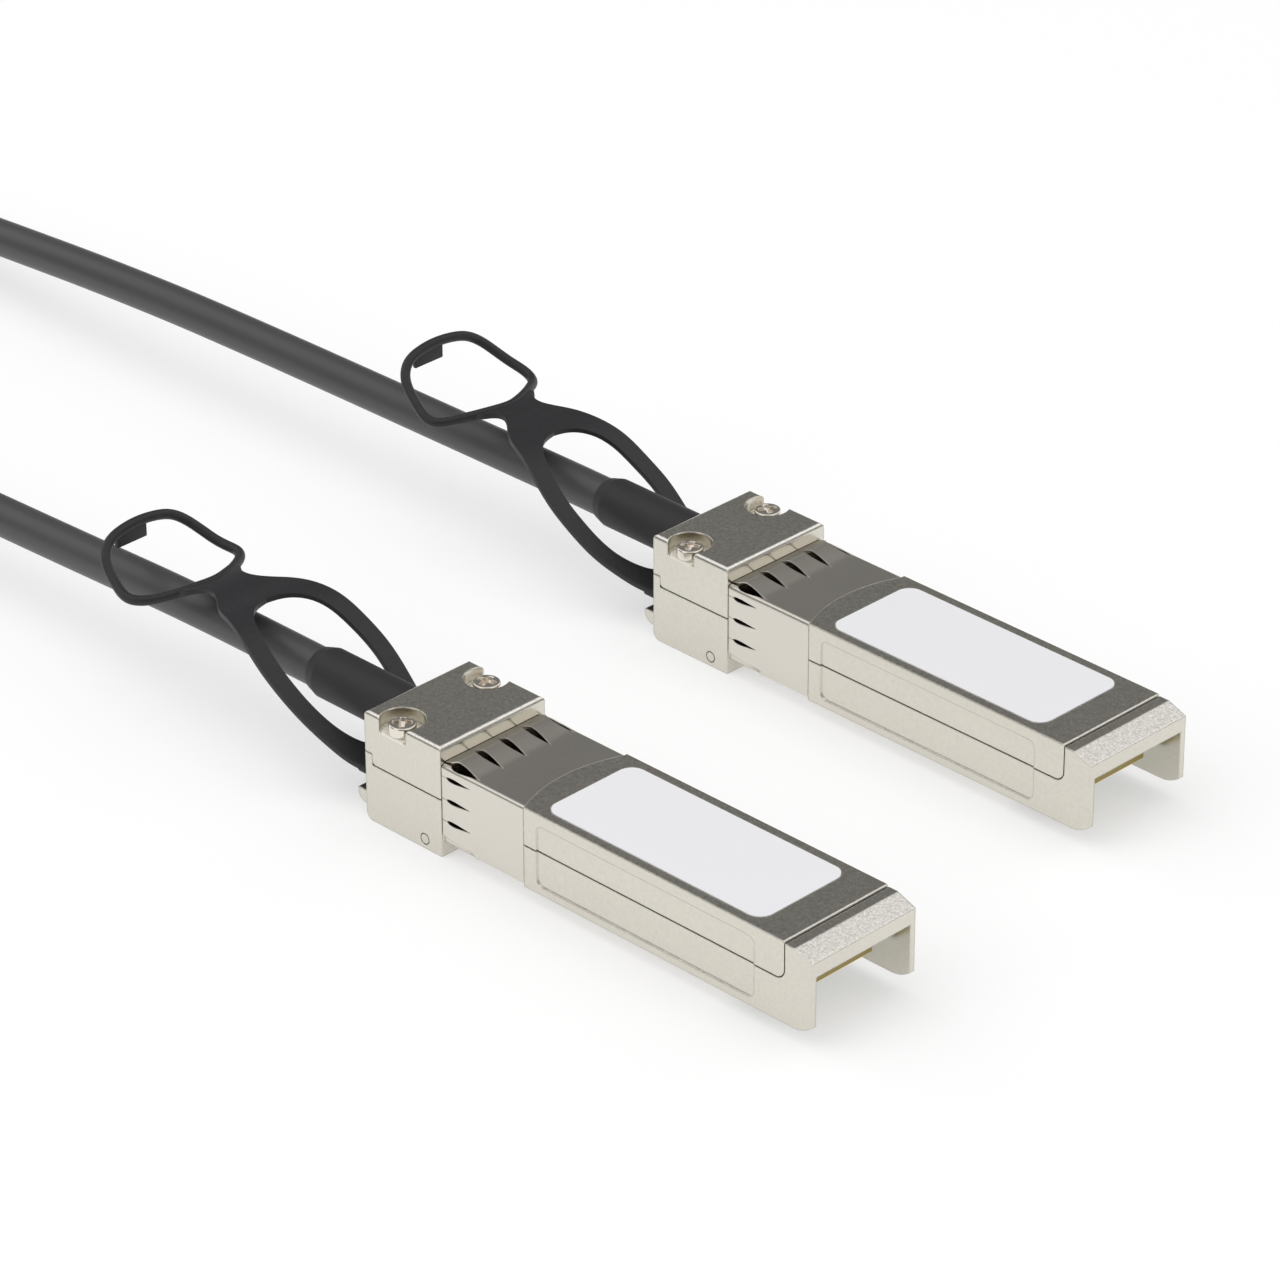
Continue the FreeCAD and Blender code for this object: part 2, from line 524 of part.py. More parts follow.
def make_latch_spring(node):
    """The leaf that holds the lever's front arm down, bent from thin strip under the channel's roof."""
    body = new_body(node)
    roof, rest = "lever_rise", "channel_clearance + lever_sheet"
    leaf = outline(body, "XZ_Plane", [
        ("spring_start", roof + " - spring_sheet"), ("spring_start", roof), ("spring_start + 1", roof),
        ("spring_end", rest + " + spring_sheet"), ("spring_end + 0.4", rest + " + 0.25"),
        ("spring_end + 0.4", rest + " + 0.25 - spring_sheet"), ("spring_end", rest + " + 0.01"),
        ("spring_start + 1", roof + " - spring_sheet")])
    extrude(body, leaf, "spring_width", both=True)
    return body


def make_screw(node, side):
    """A pan-head screw with a cross recess, from the counterbore down into the lower casting."""
    body = new_body(node)
    place = ("-screw_setback", "screw_offset" if side > 0 else "-screw_offset")
    drum(body, "screw_head", place + (SCREW_SEAT,), "screw_head_height", Z_AXIS)
    drum(body, "screw_shank", place + (SCREW_SEAT + " - screw_length",), "screw_length + 0.1", Z_AXIS)
    slot_z = (SCREW_SEAT + " + screw_head_height*0.6", "%g" % FAR)
    long, thin = "screw_head*0.29", "0.16"
    for along, over in ((long, thin), (thin, long)):
        block(body, ("-screw_setback - " + along, "-screw_setback + " + along),
              (place[1] + " - " + over, place[1] + " + " + over), slot_z, cut=True)
    head_top = size("backshell_top") - size("counterbore_depth") + size("screw_head_height")
    round_edges(body, "screw_head_height/5", lambda edge: edge.Curve.TypeId == "Part::GeomCircle"
                and near(edge.BoundBox.ZMin, head_top) and near(edge.Curve.Radius, size("screw_head") / 2),
                "PartDesign::Chamfer")
    return body


def make_label(node):
    """The label in its seat on the cover; it is bare."""
    body = new_body(node)
    block(body, ("label_start", "module_length - label_setback"), across("label_width"),
          ("module_height - label_seat", "module_height - label_seat + label_sheet"))
    round_edges(body, "label_corner", lambda edge: runs_along(edge, Z_AXIS))
    return body


# The pull tab is laid out flat and then bent about Y. Along it, distances run from its front end
# back to the finger loop. Each pair is a distance along the tab and a half width.
TAB_OUTSIDE = [(0.0, 4.3), (1.6, 5.2), (4.8, 6.1), (8.2, 6.75), (11.8, 7.1), (15.2, 6.95), (18.7, 6.35),
               (21.8, 5.4), (24.2, 4.4), (26.0, 3.05), (27.2, 2.5), (28.3, 2.75), (29.6, 3.9), (30.9, 4.0)]
TAB_WINDOW = [(2.5, 0.0), (3.0, 2.2), (4.8, 3.65), (8.2, 4.75), (11.8, 5.15), (15.2, 4.95), (18.7, 4.15),
              (20.5, 3.15), (21.7, 1.6), (22.1, 0.0)]
TAB_LOOP = [(29.3, 0.0), (29.8, 1.9), (30.7, 3.7), (31.8, 5.4), (32.8, 6.7), (33.8, 7.3), (34.9, 7.3),
            (36.4, 6.9), (38.1, 6.4), (39.6, 5.75), (40.9, 4.5), (41.6, 2.4), (41.8, 0.0)]
# The bend of each tab's middle surface seen from the side, as X from the backshell's rear face, and Z.
TAB_BEND = {
    "a": [(-1.4, 1.75), (-2.7, 2.2), (-5.7, 3.6), (-8.7, 5.4), (-11.7, 7.35), (-14.7, 9.1), (-17.7, 10.65),
          (-20.7, 11.2), (-23.7, 11.0), (-26.2, 10.95), (-28.7, 10.5), (-31.1, 9.6), (-33.2, 9.2),
          (-34.7, 9.2), (-37.3, 9.9), (-38.7, 10.65), (-39.7, 11.6), (-41.0, 13.4)],
    "b": [(-1.4, 1.75), (-2.7, 2.2), (-5.7, 3.2), (-8.7, 4.5), (-11.7, 6.4), (-14.7, 8.2), (-17.7, 10.1),
          (-20.7, 11.2), (-23.7, 11.7), (-25.7, 12.1), (-27.9, 12.05), (-30.2, 11.45), (-31.9, 11.2),
          (-33.1, 11.6), (-34.5, 12.3), (-35.9, 13.3), (-37.0, 14.4), (-37.9, 16.0), (-38.5, 17.6)],
}
LOOP_TONGUE = (-3.0, 0.9)       # the ends across Y of the small tongue in the loop's rear


class Bend:
    """The side view of a bent tab: it turns a distance along the tab into X and Z."""

    def __init__(self, points):
        self.curve = Part.BSplineCurve()
        self.curve.interpolate([Vector(x, 0, z) for x, z in points])

    def at(self, distance):
        return self.curve.parameterAtDistance(distance, self.curve.FirstParameter)

    def point(self, distance, y=0.0):
        spot = self.curve.value(self.at(distance))
        return Vector(spot.x, y, spot.z)

    def slab(self, thickness, width, length, steps):
        """The tab's whole sheet, much wider than the tab: both faces are curves offset from the bend."""
        faces = []
        for side in (0.5, -0.5):
            rim = []
            for step in range(steps + 1):
                place = self.at(length * step / steps)
                along = self.curve.tangent(place)[0]
                upright = Vector(-along.z, 0, along.x)
                rim.append(self.curve.value(place) + upright * side * thickness + Vector(0, -width / 2, 0))
            line = Part.BSplineCurve()
            line.interpolate(rim)
            faces.append(line.toShape())
        top, bottom = faces
        ends = [Part.LineSegment(top.Vertexes[place].Point, bottom.Vertexes[place].Point).toShape()
                for place in (0, -1)]
        face = Part.Face(Part.Wire(Part.__sortEdges__([top, bottom] + ends)))
        return face.extrude(Vector(0, width, 0))


def smooth_edge(points):
    line = Part.BSplineCurve()
    line.interpolate(points)
    return line.toShape()


def upright_prism(points, closed_ends):
    """A prism along Z over an outline that is the same on both sides of Y = 0.

    With closed_ends the outline crosses Y = 0 as one smooth loop, otherwise straight edges close it."""
    mirror = [Vector(point.x, -point.y, 0) for point in reversed(points)]
    if closed_ends:
        loop = Part.BSplineCurve()
        loop.interpolate(points[:-1] + mirror[:-1], PeriodicFlag=True)
        wire = Part.Wire(loop.toShape())
    else:
        half, other = smooth_edge(points), smooth_edge(mirror)
        ends = [Part.LineSegment(points[-1], mirror[0]).toShape(),
                Part.LineSegment(mirror[-1], points[0]).toShape()]
        wire = Part.Wire(Part.__sortEdges__([half, other] + ends))
    return Part.Face(wire).extrude(Vector(0, 0, FAR)).translated(Vector(0, 0, -FAR / 2))


def beside(pairs, distance):
    """A loop's outline moved outward by a distance; the loop crosses Y = 0 squarely at both its ends."""
    moved = []
    before = [(pairs[1][0], -pairs[1][1])] + pairs[:-1]
    after = pairs[1:] + [(pairs[-2][0], -pairs[-2][1])]
    for (along, wide), first, second in zip(pairs, before, after):
        span_along, span_wide = second[0] - first[0], second[1] - first[1]
        span = math.hypot(span_along, span_wide)
        moved.append((along - span_wide / span * distance, wide + span_along / span * distance))
    return moved


def make_pull_tab(node, end):
    """The moulded tab: a base on the slide, two arms round the cable, a waist and a finger loop."""
    rear_face = -size("backshell_length")
    bend = Bend([(rear_face + x, z) for x, z in TAB_BEND[end]])

    def flat(pairs):
        return [Vector(bend.point(along).x, half, 0) for along, half in pairs]

    wide = 4 * size("module_width")
    bead = size("tab_bead") / 2
    sheet_body = upright_prism(flat(TAB_OUTSIDE), closed_ends=False)
    sheet_body = sheet_body.cut(upright_prism(flat(TAB_WINDOW), closed_ends=True))
    sheet_body = sheet_body.cut(upright_prism(flat(TAB_LOOP), closed_ends=True))
    sheet_body = sheet_body.common(bend.slab(size("tab_sheet"), wide, TAB_OUTSIDE[-1][0] + bead, steps=8))
    # The thick rim of the finger loop.
    rim = upright_prism(flat(beside(TAB_LOOP, bead)), closed_ends=True)
    rim = rim.cut(upright_prism(flat(beside(TAB_LOOP, -bead)), closed_ends=True))
    rim = rim.common(bend.slab(size("tab_bead"), wide, TAB_LOOP[-1][0] + 2.5 * bead, steps=10))
    # The base that is moulded round the end of the slide.
    middle = size("slide_floor") + size("slide_lift") + size("slide_sheet") / 2
    base = Part.makeBox(size("tab_base_length"), size("tab_base_width"), size("tab_base_sheet"),
                        Vector(rear_face - size("tab_gap") - size("tab_base_length"),
                               -size("tab_base_width") / 2, middle - size("tab_base_sheet") / 2))
    # The small tongue that hangs in the loop's rear.
    rear = bend.point(TAB_LOOP[-1][0])
    tongue = Part.makeBox(size("tongue_sheet"), LOOP_TONGUE[1] - LOOP_TONGUE[0], size("tongue_drop"),
                          Vector(rear.x, LOOP_TONGUE[0], rear.z - size("tongue_drop")))
    shape = sheet_body.fuse(rim).fuse([base, tongue]).removeSplitter()
    slide = document.getObject("latch_slide_" + end)
    shape = shape.cut(slide.Shape)
    item = document.addObject("Part::Feature", node)
    item.Label = node
    item.Shape = shape.Solids[0] if len(shape.Solids) == 1 else shape
    return item


def make_plug(end):
    """Every piece of one plug, in the plug's own frame."""
    name = lambda stem: stem + "_" + end
    pieces = [
        make_bottom_shell(name("bottom_shell")), make_top_shell(name("top_shell")),
        make_emi_collar(name("emi_collar")), make_paddle_card(name("paddle_card")),
        make_contact_pads(name("contact_pads_top"), above=True),
        make_contact_pads(name("contact_pads_bottom"), above=False),
        make_memory_chip(name("memory_chip")),
        make_twinax_pair(name("twinax_pair_send"), -1), make_twinax_pair(name("twinax_pair_receive"), 1),
        make_ferrule(name("crimp_ferrule")), make_sleeve(name("heat_shrink_sleeve")),
        make_slide(name("latch_slide")), make_lever(name("latch_lever")), make_pin(name("pivot_pin")),
        make_latch_spring(name("latch_spring")), make_screw(name("screw_near"), -1),
        make_screw(name("screw_far"), 1), make_label(name("label")),
    ]
    document.recompute()
    pieces.append(make_pull_tab(name("pull_tab"), end))
    return pieces


def rounded_path(points):
    """Straight runs joined by tangent arcs, each arc as large as its two runs allow."""
    edges = []
    radii = []
    start = points[0]
    for before, corner, after in zip(points, points[1:], points[2:]):
        back, ahead = before - corner, after - corner
        half_turn = (math.pi - back.getAngle(ahead)) / 2
        cut_back = 0.45 * min(back.Length, ahead.Length)
        radii.append(cut_back / math.tan(half_turn))
        entry = corner + Vector(back).normalize() * cut_back
        leave = corner + Vector(ahead).normalize() * cut_back
        inward = (Vector(back).normalize() + Vector(ahead).normalize()).normalize()
        middle = corner + inward * (radii[-1] / math.cos(half_turn) - radii[-1])
        edges.append(Part.LineSegment(start, entry).toShape())
        edges.append(Part.Arc(entry, middle, leave).toShape())
        start = leave
    edges.append(Part.LineSegment(start, points[-1]).toShape())
    return Part.Wire(edges), radii


def make_lead(node, points):
    """A stretch of the cable that isn't coiled: a round tube along its route."""
    path, radii = rounded_path(points)
    along = points[1] - points[0]
    circle = Part.Wire(Part.Circle(points[0], along, size("cable_diameter") / 2).toShape())
    tube = path.makePipeShell([circle], True, False)
    expected = math.pi * size("cable_diameter") ** 2 / 4 * path.Length
    print(node, "length %.1f" % path.Length, "volume ratio %.4f" % (tube.Volume / expected),
          "radii", " ".join("%.0f" % radius for radius in radii))
    item = document.addObject("Part::Feature", node)
    item.Label = node
    item.Shape = tube
    return item


def make_coil(node, centre):
    """The put-away length as one ring: two turns side by side and two high."""
    cable = size("cable_diameter")
    high = cable * size("coil_layers")
    inner = size("coil_radius") - cable
    item = document.addObject("Part::Feature", node)
    item.Label = node
    item.Shape = Part.makeCylinder(inner + 2 * cable, high).cut(Part.makeCylinder(inner, high))
    item.Placement = Placement(centre, Rotation())
    return item


plug_a = make_plug("a")
plug_b = make_plug("b")
table = size("backshell_drop")
pose_a = Placement(Vector(0, 0, table), Rotation())
pose_b = Placement(Vector(size("second_plug_x"), size("second_plug_y"), table),
                   Rotation(Z_AXIS, size("second_plug_turn")))
for pieces, pose in ((plug_a, pose_a), (plug_b, pose_b)):
    for piece in pieces:
        piece.Placement = pose.multiply(piece.Placement)
document.recompute()

# The cable, in the first plug's frame with the table at Z = 0. Both leads run straight back out of
# their plugs first. They come down to the table past the picture's edge and meet the coil there.
bore_end = Vector(size("sleeve_inside") - size("backshell_length"), 0, size("cable_height"))
straight_a = Vector(-42, 0, size("cable_height"))
straight_b = Vector(-30, 0, size("cable_height"))
coil_centre = Vector(size("coil_x"), size("second_plug_y") / 2, 0)
LEAD_A = [(-62, 0.2, 7.15), (-99, -0.6, 6.5), (-140, -3.0, 6.25), (-180, -4.7, 6.15)]
LEAD_B = [(-86, 43.6, 8.1), (-105, 43.5, 7.4), (-123, 43.9, 5.9), (-141, 44.9, 3.9), (-160, 46.6, 2.3),
          (-180, 48.5, 2.1)]
lead_a = make_lead("cable_lead_a", [pose_a.multVec(bore_end), pose_a.multVec(straight_a)]
                   + [Vector(*point) for point in LEAD_A])
lead_b = make_lead("cable_lead_b", [pose_b.multVec(bore_end), pose_b.multVec(straight_b)]
                   + [Vector(*point) for point in LEAD_B])
coil = make_coil("cable_coil", coil_centre)

# The part's origin lies on the table under the middle of the two plugs.
plugs = FreeCAD.BoundBox()
for piece in plug_a + plug_b:
    plugs.add(piece.Shape.BoundBox)
shift = Vector(-plugs.Center.x, -plugs.Center.y, 0)
pieces = plug_a + plug_b + [lead_a, coil, lead_b]
for piece in pieces:
    piece.Placement = Placement(shift, Rotation()).multiply(piece.Placement)
document.recompute()
print("shift %.3f %.3f" % (shift.x, shift.y), "plugs z %.3f to %.3f" % (plugs.ZMin, plugs.ZMax))

for item in document.Objects:
    if "Invalid" in item.State or "Error" in item.State:
        raise RuntimeError("%s failed: %s" % (item.Label, item.State))
for piece in pieces:
    if piece.Shape.isNull() or not piece.Shape.isValid() or len(piece.Shape.Solids) != 1:
        raise RuntimeError("%s is not one sound solid: %d solids, valid %s" % (
            piece.Label, len(piece.Shape.Solids), piece.Shape.isValid()))
os.makedirs("parts", exist_ok=True)
for piece in pieces:
    piece.Shape.exportStep(os.path.join("parts", piece.Label + ".step"))
print(len(pieces), "pieces written")
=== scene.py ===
import json
import math

import bmesh
import bpy
import numpy as np
from mathutils import Matrix, Vector


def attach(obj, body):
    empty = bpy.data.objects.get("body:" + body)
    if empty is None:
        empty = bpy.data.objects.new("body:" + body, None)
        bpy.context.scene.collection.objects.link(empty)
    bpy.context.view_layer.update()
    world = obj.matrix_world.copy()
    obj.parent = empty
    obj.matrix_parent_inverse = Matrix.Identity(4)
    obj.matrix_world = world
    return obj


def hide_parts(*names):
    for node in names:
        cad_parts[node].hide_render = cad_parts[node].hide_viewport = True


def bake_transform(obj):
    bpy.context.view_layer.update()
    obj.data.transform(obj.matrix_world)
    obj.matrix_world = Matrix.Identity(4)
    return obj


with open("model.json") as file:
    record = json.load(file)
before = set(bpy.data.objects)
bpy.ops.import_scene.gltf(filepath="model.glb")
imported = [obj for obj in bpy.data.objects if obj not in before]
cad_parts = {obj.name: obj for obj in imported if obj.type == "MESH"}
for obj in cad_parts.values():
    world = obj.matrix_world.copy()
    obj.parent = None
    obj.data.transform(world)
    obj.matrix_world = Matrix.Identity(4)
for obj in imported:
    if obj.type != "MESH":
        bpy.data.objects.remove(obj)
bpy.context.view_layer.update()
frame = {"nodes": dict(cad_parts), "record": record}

MM = 0.001
ENDS = ("a", "b")
BACKSHELL_LENGTH = 10.3

# The first plug's own frame, whose X = 0 is the stop shoulder and Z = 0 the module's underside, lies
# at this place in the part's frame. The second plug lies beside it, turned a little.
FIRST_PLUG = Vector((3.125, -22.110, 1.5))
SECOND_PLUG = Vector((-5.0, 43.8, 0.0))
SECOND_TURN = math.radians(-0.5)
POSE = {
    "a": Matrix.Translation(FIRST_PLUG),
    "b": Matrix.Translation(FIRST_PLUG + SECOND_PLUG) @ Matrix.Rotation(SECOND_TURN, 4, "Z"),
}


def placed(points, end):
    """Points in a plug's own millimetres, taken to the part's frame in metres."""
    turn = np.array(POSE[end])
    return (np.asarray(points) @ turn[:3, :3].T + turn[:3, 3]) * MM


# The camera stands at the place that was fitted to the photograph.
CAMERA_PLACE = Vector((352.355, -354.400, 290.790)) * MM
CAMERA_AIM = Vector((-11.060, 11.821, 1.500)) * MM
CAMERA_ROLL = math.radians(-0.171)
CAMERA_LENS = 167.13


def make_camera():
    """Looks from its place to its aim, with a small roll round the line of sight."""
    data = bpy.data.cameras.new("camera")
    data.lens = CAMERA_LENS
    data.sensor_width = 36
    data.clip_start = 0.01
    data.clip_end = 50
    camera = bpy.data.objects.new("camera", data)
    bpy.context.collection.objects.link(camera)
    aim = (CAMERA_AIM - CAMERA_PLACE).to_track_quat("-Z", "Y").to_matrix().to_4x4()
    camera.matrix_world = Matrix.Translation(CAMERA_PLACE) @ aim @ Matrix.Rotation(CAMERA_ROLL, 4, "Z")
    bpy.context.scene.camera = camera


make_camera()


def new_piece(name, vertices, faces, smooth=True):
    """A mesh piece at the origin, from vertices in metres and faces as index lists."""
    mesh = bpy.data.meshes.new(name)
    mesh.from_pydata(np.asarray(vertices, dtype=float).tolist(), [], [list(face) for face in faces])
    mesh.validate()
    if smooth:
        mesh.polygons.foreach_set("use_smooth", np.ones(len(mesh.polygons), dtype=bool))
    piece = bpy.data.objects.new(name, mesh)
    bpy.context.collection.objects.link(piece)
    return piece


def grid_faces(rows, columns, close_rows=False, close_columns=False):
    """Quads between neighbouring points of a grid that is stored row by row."""
    down = np.arange(rows if close_rows else rows - 1)
    across = np.arange(columns if close_columns else columns - 1)
    row, column = np.meshgrid(down, across, indexing="ij")
    below, beside = (row + 1) % rows, (column + 1) % columns
    quads = np.stack([row * columns + column, row * columns + beside,
                      below * columns + beside, below * columns + column], axis=-1)
    return quads.reshape(-1, 4)


def join_parts(parts):
    """Several (vertices, faces) as one pair."""
    vertices, faces, count = [], [], 0
    for points, quads in parts:
        vertices.append(np.asarray(points, dtype=float))
        faces += [[index + count for index in face] for face in quads]
        count += len(points)
    return np.concatenate(vertices), faces


# Points of neighbouring patches that lie closer than this, in millimetres, are one.
WELD = 1e-4


def weld(piece, one_way=False):
    """Joins the patches of a piece along their edges, and may turn its faces one way."""
    work = bmesh.new()
    work.from_mesh(piece.data)
    bmesh.ops.remove_doubles(work, verts=work.verts, dist=WELD)
    if one_way:
        bmesh.ops.recalc_face_normals(work, faces=work.faces)
    work.to_mesh(piece.data)
    work.free()


def take_finished(piece):
    """The points and faces of a piece as its modifiers leave it. The piece is then removed."""
    made = bpy.data.meshes.new_from_object(piece.evaluated_get(bpy.context.evaluated_depsgraph_get()))
    spots = np.empty(len(made.vertices) * 3)
    made.vertices.foreach_get("co", spots)
    faces = [tuple(face.vertices) for face in made.polygons]
    bpy.data.objects.remove(piece)
    bpy.data.meshes.remove(made)
    return spots.reshape(-1, 3), faces


def smooth_line(points):
    """A natural cubic spline through points, as a function of the distance along their chords.

    Each span is a cubic whose second derivative runs straight from knot to knot."""
    points = np.asarray(points, dtype=float)
    knots = np.concatenate([[0], np.cumsum(np.linalg.norm(np.diff(points, axis=0), axis=1))])
    span = np.diff(knots)
    count = len(points)
    system = np.eye(count)
    right = np.zeros_like(points)
    for knot in range(1, count - 1):
        system[knot, knot - 1:knot + 2] = span[knot - 1], 2 * (span[knot - 1] + span[knot]), span[knot]
        right[knot] = 6 * ((points[knot + 1] - points[knot]) / span[knot]
                           - (points[knot] - points[knot - 1]) / span[knot - 1])
    curvature = np.linalg.solve(system, right)

    def at(distance):
        distance = np.asarray(distance, dtype=float)
        index = np.clip(np.searchsorted(knots, distance) - 1, 0, count - 2)
        width = span[index][..., None]
        after = (distance - knots[index])[..., None]
        before = width - after
        bend = curvature[index] * before ** 3 / (6 * width) + curvature[index + 1] * after ** 3 / (6 * width)
        start = (points[index] / width - curvature[index] * width / 6) * before
        end = (points[index + 1] / width - curvature[index + 1] * width / 6) * after
        return bend + start + end

    return at, knots[-1]


def tube(centre, across, upright, radius, sides=20, closed=False):
    """A round tube: at each centre point a circle in the plane of the two given directions."""
    turn = np.linspace(0, 2 * np.pi, sides, endpoint=False)
    turn = turn[None, :, None]
    ring = np.cos(turn) * across[:, None, :] + np.sin(turn) * upright[:, None, :]
    vertices = (centre[:, None, :] + radius * ring).reshape(-1, 3)
    return vertices, grid_faces(len(centre), sides, close_rows=closed, close_columns=True)


def round_block(low, high, radius, steps=24):
    """A block with round edges: a ball whose eight parts are moved out to the block's corners."""
    low, high = np.asarray(low, dtype=float), np.asarray(high, dtype=float)
    polar = np.linspace(1e-3, np.pi - 1e-3, steps)
    round_about = np.linspace(0, 2 * np.pi, 2 * steps, endpoint=False) + np.pi / (2 * steps)
    polar, round_about = np.meshgrid(polar, round_about, indexing="ij")
    ball = np.stack([np.sin(polar) * np.cos(round_about), np.sin(polar) * np.sin(round_about),
                     np.cos(polar)], axis=-1).reshape(-1, 3)
    side = np.where(ball >= 0, 1.0, -1.0)
    middle, half = (low + high) / 2, (high - low) / 2
    vertices = middle + side * (half - radius) + ball * radius
    faces = grid_faces(steps, 2 * steps, close_columns=True)[:, ::-1].tolist()
    top = list(range(2 * steps))
    bottom = list(range((steps - 1) * 2 * steps, steps * 2 * steps))
    return vertices, faces + [top, bottom[::-1]]


# The cable, from the first plug's bore and sleeve end to the coil, and the same for the second plug.
CABLE = 4.1
CABLE_SIDES = 28
COIL_CENTRE = (-190.0, 21.9)
COIL_RADIUS = 24.6
COIL_TURNS = 3.5
# Where along the turns the cable goes inward, down and outward again: the first degree and how many it takes.
COIL_INWARD = (300, 50)
COIL_DOWN = (600, 60)
COIL_OUTWARD = (900, 50)
TABLE_GAP = 0.03
ROUTE_A = [(-8.8, 0, 8.2), (-23.7, 0, 8.2), (-42, 0, 8.2), (-62, 0.2, 7.15), (-99, -0.6, 6.5),
           (-140, -3.0, 6.25), (-180, -4.7, 6.15)]
ROUTE_B = [(-13.8, 43.877, 8.2), (-28.7, 44.007, 8.2), (-35, 44.062, 8.2), (-86, 43.6, 8.1),
           (-105, 43.5, 7.4), (-123, 43.9, 5.9), (-141, 44.9, 3.9), (-160, 46.6, 2.3), (-180, 48.5, 2.1)]


def eased(value):
    """0 up to 0, 1 from 1 on, and a smooth S between."""
    value = np.clip(value, 0, 1)
    return value * value * (3 - 2 * value)


def coil_points(per_turn=24):
    """The put-away turns, from the first plug's side to the second's.

    They run clockwise: outside and then inside on the upper layer, then inside and outside on the table."""
    travelled = np.arange(0, 360 * COIL_TURNS + 1, 360 / per_turn)
    inward, fallen, outward = (eased((travelled - first) / run)
                               for first, run in (COIL_INWARD, COIL_DOWN, COIL_OUTWARD))
    # The line cuts inside its control points by this share of the radius.
    outside = 1 / np.cos(np.pi / per_turn) ** 0.75
    radius = (COIL_RADIUS + CABLE / 2 - CABLE * (inward - outward)) * outside
    angle = np.radians(-90 - travelled)
    return np.stack([COIL_CENTRE[0] + radius * np.cos(angle), COIL_CENTRE[1] + radius * np.sin(angle),
                     CABLE * 1.5 - CABLE * fallen + TABLE_GAP], axis=-1)


def cable_line():
    """The points of the cable's own NURBS spline, one behind the other."""
    points = np.concatenate([ROUTE_A, coil_points(), ROUTE_B[::-1]]) + [FIRST_PLUG.x, FIRST_PLUG.y, 0]
    curve = bpy.data.curves.new("cable_line", "CURVE")
    curve.dimensions = "3D"
    spline = curve.splines.new("NURBS")
    spline.points.add(len(points) - 1)
    flat = np.concatenate([points * MM, np.ones((len(points), 1))], axis=1)
    spline.points.foreach_set("co", flat.ravel())
    spline.order_u = 3
    spline.use_endpoint_u = True
    spline.resolution_u = 8
    holder = bpy.data.objects.new("cable_line", curve)
    bpy.context.collection.objects.link(holder)
    return take_finished(holder)[0]


def make_cable():
    """A round tube on the cable's line: at each of its points a circle across the way it runs."""
    line = cable_line()
    forward = np.gradient(line, axis=0)
    forward /= np.linalg.norm(forward, axis=1)[:, None]
    across = np.cross([0.0, 0.0, 1.0], forward)
    across /= np.linalg.norm(across, axis=1)[:, None]
    vertices, faces = tube(line, across, np.cross(forward, across), CABLE / 2 * MM, sides=CABLE_SIDES)
    ring = np.arange(CABLE_SIDES)
    faces = faces.tolist() + [ring[::-1].tolist(), (ring + len(vertices) - CABLE_SIDES).tolist()]
    cable = new_piece("cable", vertices, faces)
    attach(cable, "plugs_and_cable")
    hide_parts("cable_lead_a", "cable_coil", "cable_lead_b")
    return cable


# The pull tabs. Along a tab, distances run back from its front end. Each pair is a distance and a half width.
TAB_OUTSIDE = [(0.0, 4.3), (1.6, 5.2), (4.8, 6.1), (8.2, 6.75), (11.8, 7.1), (15.2, 6.95), (18.7, 6.35),
               (21.8, 5.4), (24.2, 4.4), (26.0, 3.05), (27.2, 2.5), (28.3, 2.75), (29.6, 3.9), (30.9, 4.0)]
TAB_WINDOW = [(2.5, 0.0), (3.0, 2.2), (4.8, 3.65), (8.2, 4.75), (11.8, 5.15), (15.2, 4.95), (18.7, 4.15),
              (20.5, 3.15), (21.7, 1.6), (22.1, 0.0)]
TAB_LOOP = [(29.3, 0.0), (29.8, 1.9), (30.7, 3.7), (31.8, 5.4), (32.8, 6.7), (33.8, 7.3), (34.9, 7.3),
            (36.4, 6.9), (38.1, 6.4), (39.6, 5.75), (40.9, 4.5), (41.6, 2.4), (41.8, 0.0)]
# The bend of each tab seen from the side, as X from the backshell's rear face, and Z.
TAB_BEND = {
    "a": [(-1.4, 1.75), (-2.7, 2.2), (-5.7, 3.6), (-8.7, 5.4), (-11.7, 7.35), (-14.7, 9.1), (-17.7, 10.65),
          (-20.7, 11.2), (-23.7, 11.0), (-26.2, 10.95), (-28.7, 10.5), (-31.1, 9.6), (-33.2, 9.4),
          (-34.7, 9.5), (-37.2, 10.4), (-38.6, 11.25), (-39.6, 12.2), (-41.0, 14.0)],
    "b": [(-1.4, 1.75), (-2.7, 2.2), (-5.7, 3.2), (-8.7, 4.5), (-11.7, 6.4), (-14.7, 8.2), (-17.7, 10.1),
          (-20.7, 11.2), (-23.7, 11.7), (-25.7, 12.1), (-27.9, 12.05), (-30.2, 11.45), (-31.9, 11.2),
          (-33.1, 11.55), (-34.5, 12.1), (-36.0, 12.8), (-37.3, 13.6), (-38.4, 14.6), (-39.3, 15.7)],
}
# How far each finger loop is set back along its tab and to the left of it, and the factor of its width.
TAB_LOOP_SET = {"a": (0.6, 0.0, 0.95), "b": (-0.35, 0.17, 0.975)}
# That sets in from here on, over this length.
LOOP_SET_RUN = (24.5, 6.0)
TAB_SHEET = 0.55
TAB_BEAD = 1.05
# The base that the slide holds: its low and high corner, and the rounding of its edges.
TAB_BASE = ((-14.3, -4.4, 1.0), (-11.7, 4.4, 2.2), 0.3)
# The tongue that hangs from the loop's rear: its range in Y, its length, its range in X and its rounding.
LOOP_TONGUE = (-3.0, 0.9)
TONGUE_DROP = 1.8
TONGUE_SHEET = (-0.05, 0.42)
TONGUE_ROUND = 0.12
# The flat sheet ends here, under the rim, and the loop's front outline is the part of its line up to here.
SHEET_END = 30.75
LOOP_FRONT = 33
RIM_BEVEL = 0.13
